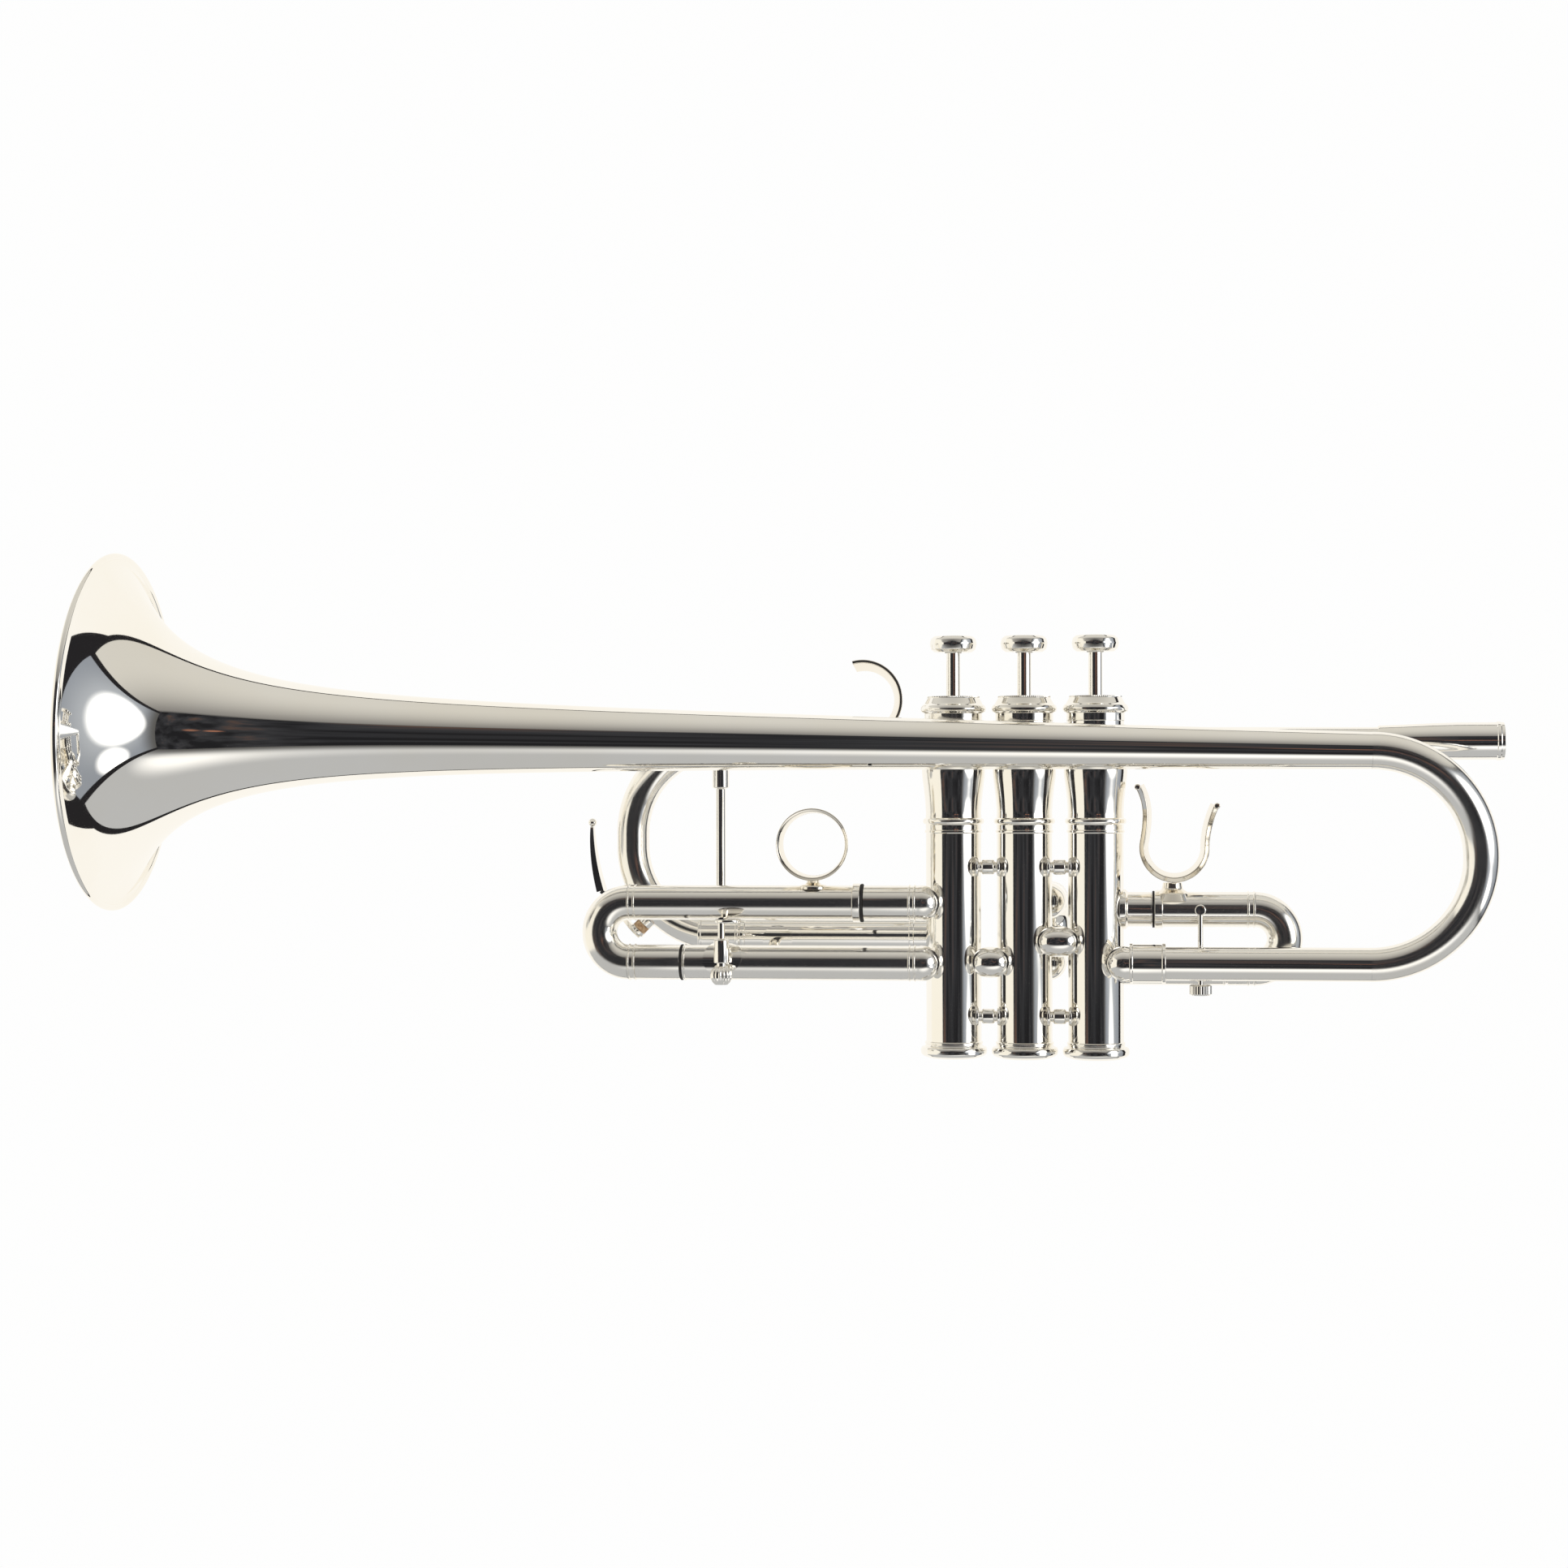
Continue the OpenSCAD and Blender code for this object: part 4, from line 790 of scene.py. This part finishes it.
def on_main_bow(radius):
    """A place on the bow's lower quarter, at a radius from its middle, facing outward."""
    return (Matrix.Translation((MAIN_ARC_X, LEAD_Y, MAIN_ARC_Z))
            @ Matrix.Rotation(-math.radians(225), 4, "Y") @ Matrix.Translation((radius, 0, 0)))


def make_main_slide():
    path = (arc_path((MAIN_ARC_X, LEAD_Y, LEAD_Z - MAIN_ARC), MAIN_ARC, 90, 180, 80)
            + arc_path((MAIN_ARC_X, LEAD_Y, MAIN_ARC_Z), MAIN_ARC, 180, 270, 80))
    parts = [sweep(path, (0, 1, 0), ring_of(MAIN_R))]
    ferrule = rounded([(-115.9, INNER_R), (-115.9, 6.9, 0.35), (-114.9, 6.9, 0.35),
                       (-114.7, 6.6, 0.2), (-102.6, 6.6, 0.2), (-102.4, 6.9, 0.35),
                       (-101.4, 6.9, 0.35), (-101.4, INNER_R), (-115.9, INNER_R)])
    parts += [lathe(ferrule, (0, LEAD_Y, z)) for z in (LEAD_Z, MAIN_LOW_Z)]
    nipple = lathe(rounded([(0, 0), (0, 2.9), (2.4, 2.9, 0.3), (2.4, 1.6, 0.2), (1.6, 1.4),
                            (1.6, 0)]))
    parts.append(placed(nipple, on_main_bow(MAIN_ARC + MAIN_R - 0.5)))
    joined("main_bow", parts, "drawn_silver", "main_tuning_slide", ("main_slide_bow",))
    legs = [lathe(beaded(MAIN_ARC_X, MAIN_LEG_END, INNER_R, INNER_RI), (0, LEAD_Y, z))
            for z in (LEAD_Z, MAIN_LOW_Z)]
    joined("main_legs", legs, "tube_silver", "main_tuning_slide", ("main_slide_legs",))
    low = MAIN_LOW_Z
    brace = rounded([(low, 0), (low, 3.0), (low + 9.6, 3.0, 0.4), (low + 10, 1.75, 0.2),
                     (LEAD_Z - 16, 1.75, 0.2), (LEAD_Z - 15.6, 3.0, 0.4), (LEAD_Z, 3.0),
                     (LEAD_Z, 0)])
    joined("main_brace", [lathe(brace, (-108.4, LEAD_Y, 0), "Z")], "tube_silver",
           "main_tuning_slide", ("main_slide_brace",))


def make_water_key():
    """The lever is a flat bar that grows wider from its tip to the pivot."""
    pivot = (-147.6, LEAD_Y, -8.6)
    reach = 43.2
    upper = arc_path((-71.6, LEAD_Y, 17.6), 83, 180.2, 196.4, 40)
    lower = arc_path((MAIN_ARC_X, LEAD_Y, MAIN_ARC_Z), reach, 207, 228, 20)
    bar = [(-0.75, -2.2), (0.75, -2.2), (0.75, 2.2), (-0.75, 2.2)]
    arm = sweep(upper, (0, 1, 0), bar, grow=lambda t: 0.6 + 1.1 * t ** 0.7)
    arm_low = sweep([upper[-1]] + lower, (0, 1, 0), bar)
    tip = lathe([(-1.5 * math.cos(math.pi * k / 24), 1.5 * math.sin(math.pi * k / 24))
                 for k in range(25)], (upper[0].x, LEAD_Y, upper[0].z + 1.2), "Z", 48)
    hinge = lathe(rounded([(-3.4, 0.85), (-3.4, 1.8, 0.2), (3.4, 1.8, 0.2), (3.4, 0.85),
                           (-3.4, 0.85)]), pivot, "Y", 64)
    cup = lathe(rounded([(-1.5, 0), (-1.5, 2.9, 0.3), (-0.1, 3.0, 0.3), (-0.1, 0)]), count=64)
    joined("water_key_arm", [arm, arm_low, tip, hinge, placed(cup, on_main_bow(reach))],
           "tube_silver", "water_key", ("water_key_lever",))


def make_hook():
    path = arc_path((-57.4, LEAD_Y, 61.6), 13.6, -46, 105, 80)
    foot = lathe(rounded([(LEAD_Z + 3, 0), (LEAD_Z + 3, 6.2), (LEAD_Z + 5.2, 5.4, 1.2),
                          (LEAD_Z + 6.4, 3.4, 1.2), (LEAD_Z + 7.4, 3.0, 0.3),
                          (LEAD_Z + 7.4, 0)], 8), (-48, LEAD_Y, 0), "Z")
    joined("finger_hook", [sweep(path, (0, 1, 0), strap(1.25, 9, -2.6)), foot],
           "handled_silver", "horn", ("pinky_hook",))


# ---- Flanges, and painted shadows in the slide gaps ------------------------------------

def make_flanges():
    brace = rod(THIRD_Y + 3, LEAD_Y - 3, 2, (-89, 0, MAIN_LOW_Z - 5.4), "Y")
    plate = plate_on_tube(-87.5, LEAD_Y, MAIN_LOW_Z, -1.5, 5.2, SLEEVE_R, 0.5)
    joined("third_brace_and_flange", [brace, plate], "tube_silver", "horn",
           ("third_slide_brace",))
    plate = plate_on_tube(-102.2, THIRD_Y, THIRD_LOW_Z, 2.6, 6.0, SLEEVE_R, 0.55)
    joined("third_stop_flange", [plate], "tube_silver", "horn")


# Near-black rings fill the gaps at the slide joints: painted shadow in each gap.
def make_gap_shadows():
    start = THIRD_COLLAR + 0.1
    joined("third_upper_gap_shadow", [gap_shadow_ring(start, start + 0.8, 6.6, (0, THIRD_Y, THIRD_Z))],
           "bumper", "third_slide")
    joined("third_lower_gap_shadow", [gap_shadow_ring(THIRD_SLEEVE - 0.75, THIRD_SLEEVE - 0.05, 6.2,
                                       (0, THIRD_Y, THIRD_LOW_Z))], "bumper", "third_slide")
    start = FIRST_COLLAR - 0.75
    joined("first_gap_shadow", [gap_shadow_ring(start, start + 0.75, 6.3, (0, FIRST_Y, FIRST_Z))],
           "bumper", "first_slide")


for make in (make_bell, make_bell_bow, make_tail, make_leadpipe, make_main_sleeves, make_valves,
             make_crossovers, make_third_slide, make_ring, make_third_stop, make_first_slide,
             make_saddle, make_first_stop, make_main_slide, make_hook, make_flanges,
             make_gap_shadows, make_water_key, make_stems, make_bell_knuckle):
    make()


# ---- Studio ----------------------------------------------------------------------------

def emission(name, color):
    mat, tree, glow = shader_material(name, "ShaderNodeEmission")
    glow.inputs["Color"].default_value = (*color, 1)
    mat.cycles.emission_sampling = "NONE"
    return mat, tree, glow


def flat_mesh(name, corners, material):
    """One flat face of the studio, in metres."""
    mesh = bpy.data.meshes.new(name)
    mesh.from_pydata([Vector(c) for c in corners], [], [tuple(range(len(corners)))])
    mesh.materials.append(material)
    card = bpy.data.objects.new(name, mesh)
    bpy.context.scene.collection.objects.link(card)
    return card


def panel(name, corners, material):
    """A flat card that only mirrors can see."""
    card = flat_mesh(name, corners, material)
    card.visible_camera = False
    card.visible_diffuse = False
    card.visible_shadow = False
    card.visible_transmission = False
    card.visible_volume_scatter = False


def vector_math(tree, operation, source, value=None):
    node = tree.nodes.new("ShaderNodeVectorMath")
    node.operation = operation
    tree.links.new(source, node.inputs[0])
    if value:
        node.inputs[1].default_value = value
    return node.outputs


def glow_spots(tree, glow, base, spots, start=None):
    """Base colour with soft spots on it: each is a centre, a radius, a core and a colour.
    start is a colour socket to use in place of the base colour."""
    coords = tree.nodes.new("ShaderNodeTexCoord").outputs["Object"]
    color = start
    for centre, radius, core, tone in spots:
        offset = vector_math(tree, "SUBTRACT", coords, centre)["Vector"]
        squeezed = vector_math(tree, "DIVIDE", offset, radius)["Vector"]
        length = vector_math(tree, "LENGTH", squeezed)["Value"]
        fade = tree.nodes.new("ShaderNodeMapRange")
        fade.interpolation_type = "SMOOTHSTEP"
        fade.inputs["From Min"].default_value = core
        fade.inputs["From Max"].default_value = 1.0
        fade.inputs["To Min"].default_value = 1.0
        fade.inputs["To Max"].default_value = 0.0
        tree.links.new(length, fade.inputs["Value"])
        mix = tree.nodes.new("ShaderNodeMix")
        mix.data_type = "RGBA"
        if color is None:
            mix.inputs["A"].default_value = (*base, 1)
        else:
            tree.links.new(color, mix.inputs["A"])
        mix.inputs["B"].default_value = (*tone, 1)
        tree.links.new(fade.outputs["Result"], mix.inputs["Factor"])
        color = mix.outputs["Result"]
    tree.links.new(color, glow.inputs["Color"])


DARK = (0.020, 0.019, 0.021)
# Painted shade towards the tent's open front.
FRONT_SHADE = (0.11, 0.108, 0.105)
CREAM = (0.98, 0.94, 0.84)
BACK_CREAM = (1.0, 0.975, 0.925)
WARM_GREY = (0.68, 0.66, 0.61)
DIM_GREY = (0.25, 0.24, 0.23)
COOL_GREY = (0.30, 0.325, 0.37)
# Painted halo of light round the right wall's lamps.
LAMP_HALO = (0.56, 0.59, 0.63)
SOFT_GREY = (0.50, 0.505, 0.51)
WHITE = (1.15, 1.14, 1.12)
PAPER = (0.99, 0.99, 0.988)
FAR = 99.0           # a spot's radius along an axis it doesn't fade on

# The tent's walls, in metres.
LEFT, RIGHT = -1.25, 0.90
FRONT, BACK = -1.22, 0.30
LOW, HIGH = -0.53, 0.72
BACKDROP_Y, BACKDROP_HALF = 0.62, 3
ROOM_Y, ROOM_HALF_X, ROOM_HALF_Z = FRONT - 0.6, 4, 2.2
SEAM = 0.07


def level(z):
    """The corners of a tent wall that lies flat at height z."""
    return [(LEFT, FRONT, z), (RIGHT, FRONT, z), (RIGHT, BACK, z), (LEFT, BACK, z)]


def upright(x, low, high):
    """The corners of a wall that stands from front to back at x."""
    return [(x, FRONT, low), (x, BACK, low), (x, BACK, high), (x, FRONT, high)]


def facing(y, half_x, half_z):
    """The corners of a wall that stands across the view at y."""
    return [(-half_x, y, -half_z), (half_x, y, -half_z), (half_x, y, half_z),
            (-half_x, y, half_z)]


# The spots on the glowing tent cards are painted light and shade: two lamp hot spots and their halo
# on the right wall, a painted pool of light on the bottom, and painted shade towards the open front
# on the top, bottom and right.
TENT = (
    ("tent_top", WARM_GREY, level(HIGH),
     [((0, FRONT, HIGH), (FAR, 1.25, FAR), 0.0, DIM_GREY),
      ((0, FRONT, HIGH), (FAR, 0.14, FAR), 0.0, FRONT_SHADE)]),
    ("tent_bottom", SOFT_GREY, level(LOW),
     [((0.25, -0.70, LOW), (0.75, 0.46, 1), 0.2, WHITE),
      ((0, FRONT, LOW), (FAR, 0.55, FAR), 0.0, FRONT_SHADE)]),
    ("tent_right", COOL_GREY, upright(RIGHT, LOW, HIGH),
     [((RIGHT, -0.42, 0.20), (1, 0.85, 0.72), 0.2, LAMP_HALO),
      ((RIGHT, FRONT, 0.10), (1, 0.42, FAR), 0.0, FRONT_SHADE),
      ((RIGHT, -0.50, 0.20), (1, 0.55, 0.42), 0.65, (2.2, 2.2, 2.2)),
      ((RIGHT, -0.35, -0.36), (1, 0.32, 0.21), 0.5, (2.0, 2.0, 2.0))]),
    ("tent_left", CREAM, upright(LEFT, LOW, HIGH), []),
    ("tent_back", BACK_CREAM, facing(BACKDROP_Y, BACKDROP_HALF, BACKDROP_HALF), []),
)
for name, color, corners, spots in TENT:
    mat, tree, glow = emission(name, color)
    if spots:
        glow_spots(tree, glow, color, spots)
    panel(name, corners, mat)

seam_mat = emission("tent_seams", DARK)[0]
room_mat, tree, glow = emission("dark_room", DARK)
blotches = ramp_of(tree, object_noise(tree, 2.6, 3.0),
                   ((0.38, (0.016, 0.016, 0.018)), (0.56, (0.042, 0.043, 0.048)),
                    (0.74, (0.13, 0.075, 0.055))))
glow_spots(tree, glow, DARK, [((0.30, ROOM_Y, 0.15), (0.15, 1, 0.06), 0.3, (0.36, 0.16, 0.10)),
                              ((0.62, ROOM_Y, 0.16), (0.20, 1, 0.07), 0.2, (0.30, 0.14, 0.09))],
           start=blotches)
panel("room_front", facing(ROOM_Y, ROOM_HALF_X, ROOM_HALF_Z), room_mat)
panel("seam_right", [(RIGHT + 0.02, BACK - 0.02, -1.5), (RIGHT - 0.02, BACK + 0.27, -1.5),
                     (RIGHT - 0.02, BACK + 0.27, 1.7), (RIGHT + 0.02, BACK - 0.02, 1.7)],
      seam_mat)
for name, z in (("top", HIGH), ("low", LOW)):
    panel(f"seam_{name}_right", upright(RIGHT - 0.001, z - SEAM, z + SEAM), seam_mat)
    panel(f"seam_{name}_back", [(LEFT, BACK, z), (RIGHT, BACK, z), (RIGHT, BACK + 0.08, z),
                                (LEFT, BACK + 0.02, z)], seam_mat)

world = bpy.data.worlds.new("studio")
world.use_nodes = True
bpy.context.scene.world = world
world.node_tree.nodes["Background"].inputs["Color"].default_value = (*PAPER, 1)
world.node_tree.nodes["Background"].inputs["Strength"].default_value = 1.0

FLOOR_HALF, FLOOR_Z = 9, -0.45
floor = flat_mesh("floor", [(-FLOOR_HALF, -FLOOR_HALF, FLOOR_Z), (FLOOR_HALF, -FLOOR_HALF, FLOOR_Z),
                            (FLOOR_HALF, FLOOR_HALF, FLOOR_Z), (-FLOOR_HALF, FLOOR_HALF, FLOOR_Z)],
                  emission("floor_paper", PAPER)[0])
floor.visible_glossy = False

bpy.context.scene.view_settings.view_transform = "Standard"


# ---- Camera ----------------------------------------------------------------------------

camera = bpy.data.cameras.new("camera")
camera.sensor_width = 36
camera.lens = 70.68
camera.dof.use_dof = False
eye = bpy.data.objects.new("camera", camera)
eye.location = (0.0487, -1.0617, 0.0321)
eye.rotation_euler = (math.radians(90), math.radians(0.12), math.radians(7.09))
bpy.context.scene.collection.objects.link(eye)
bpy.context.scene.camera = eye
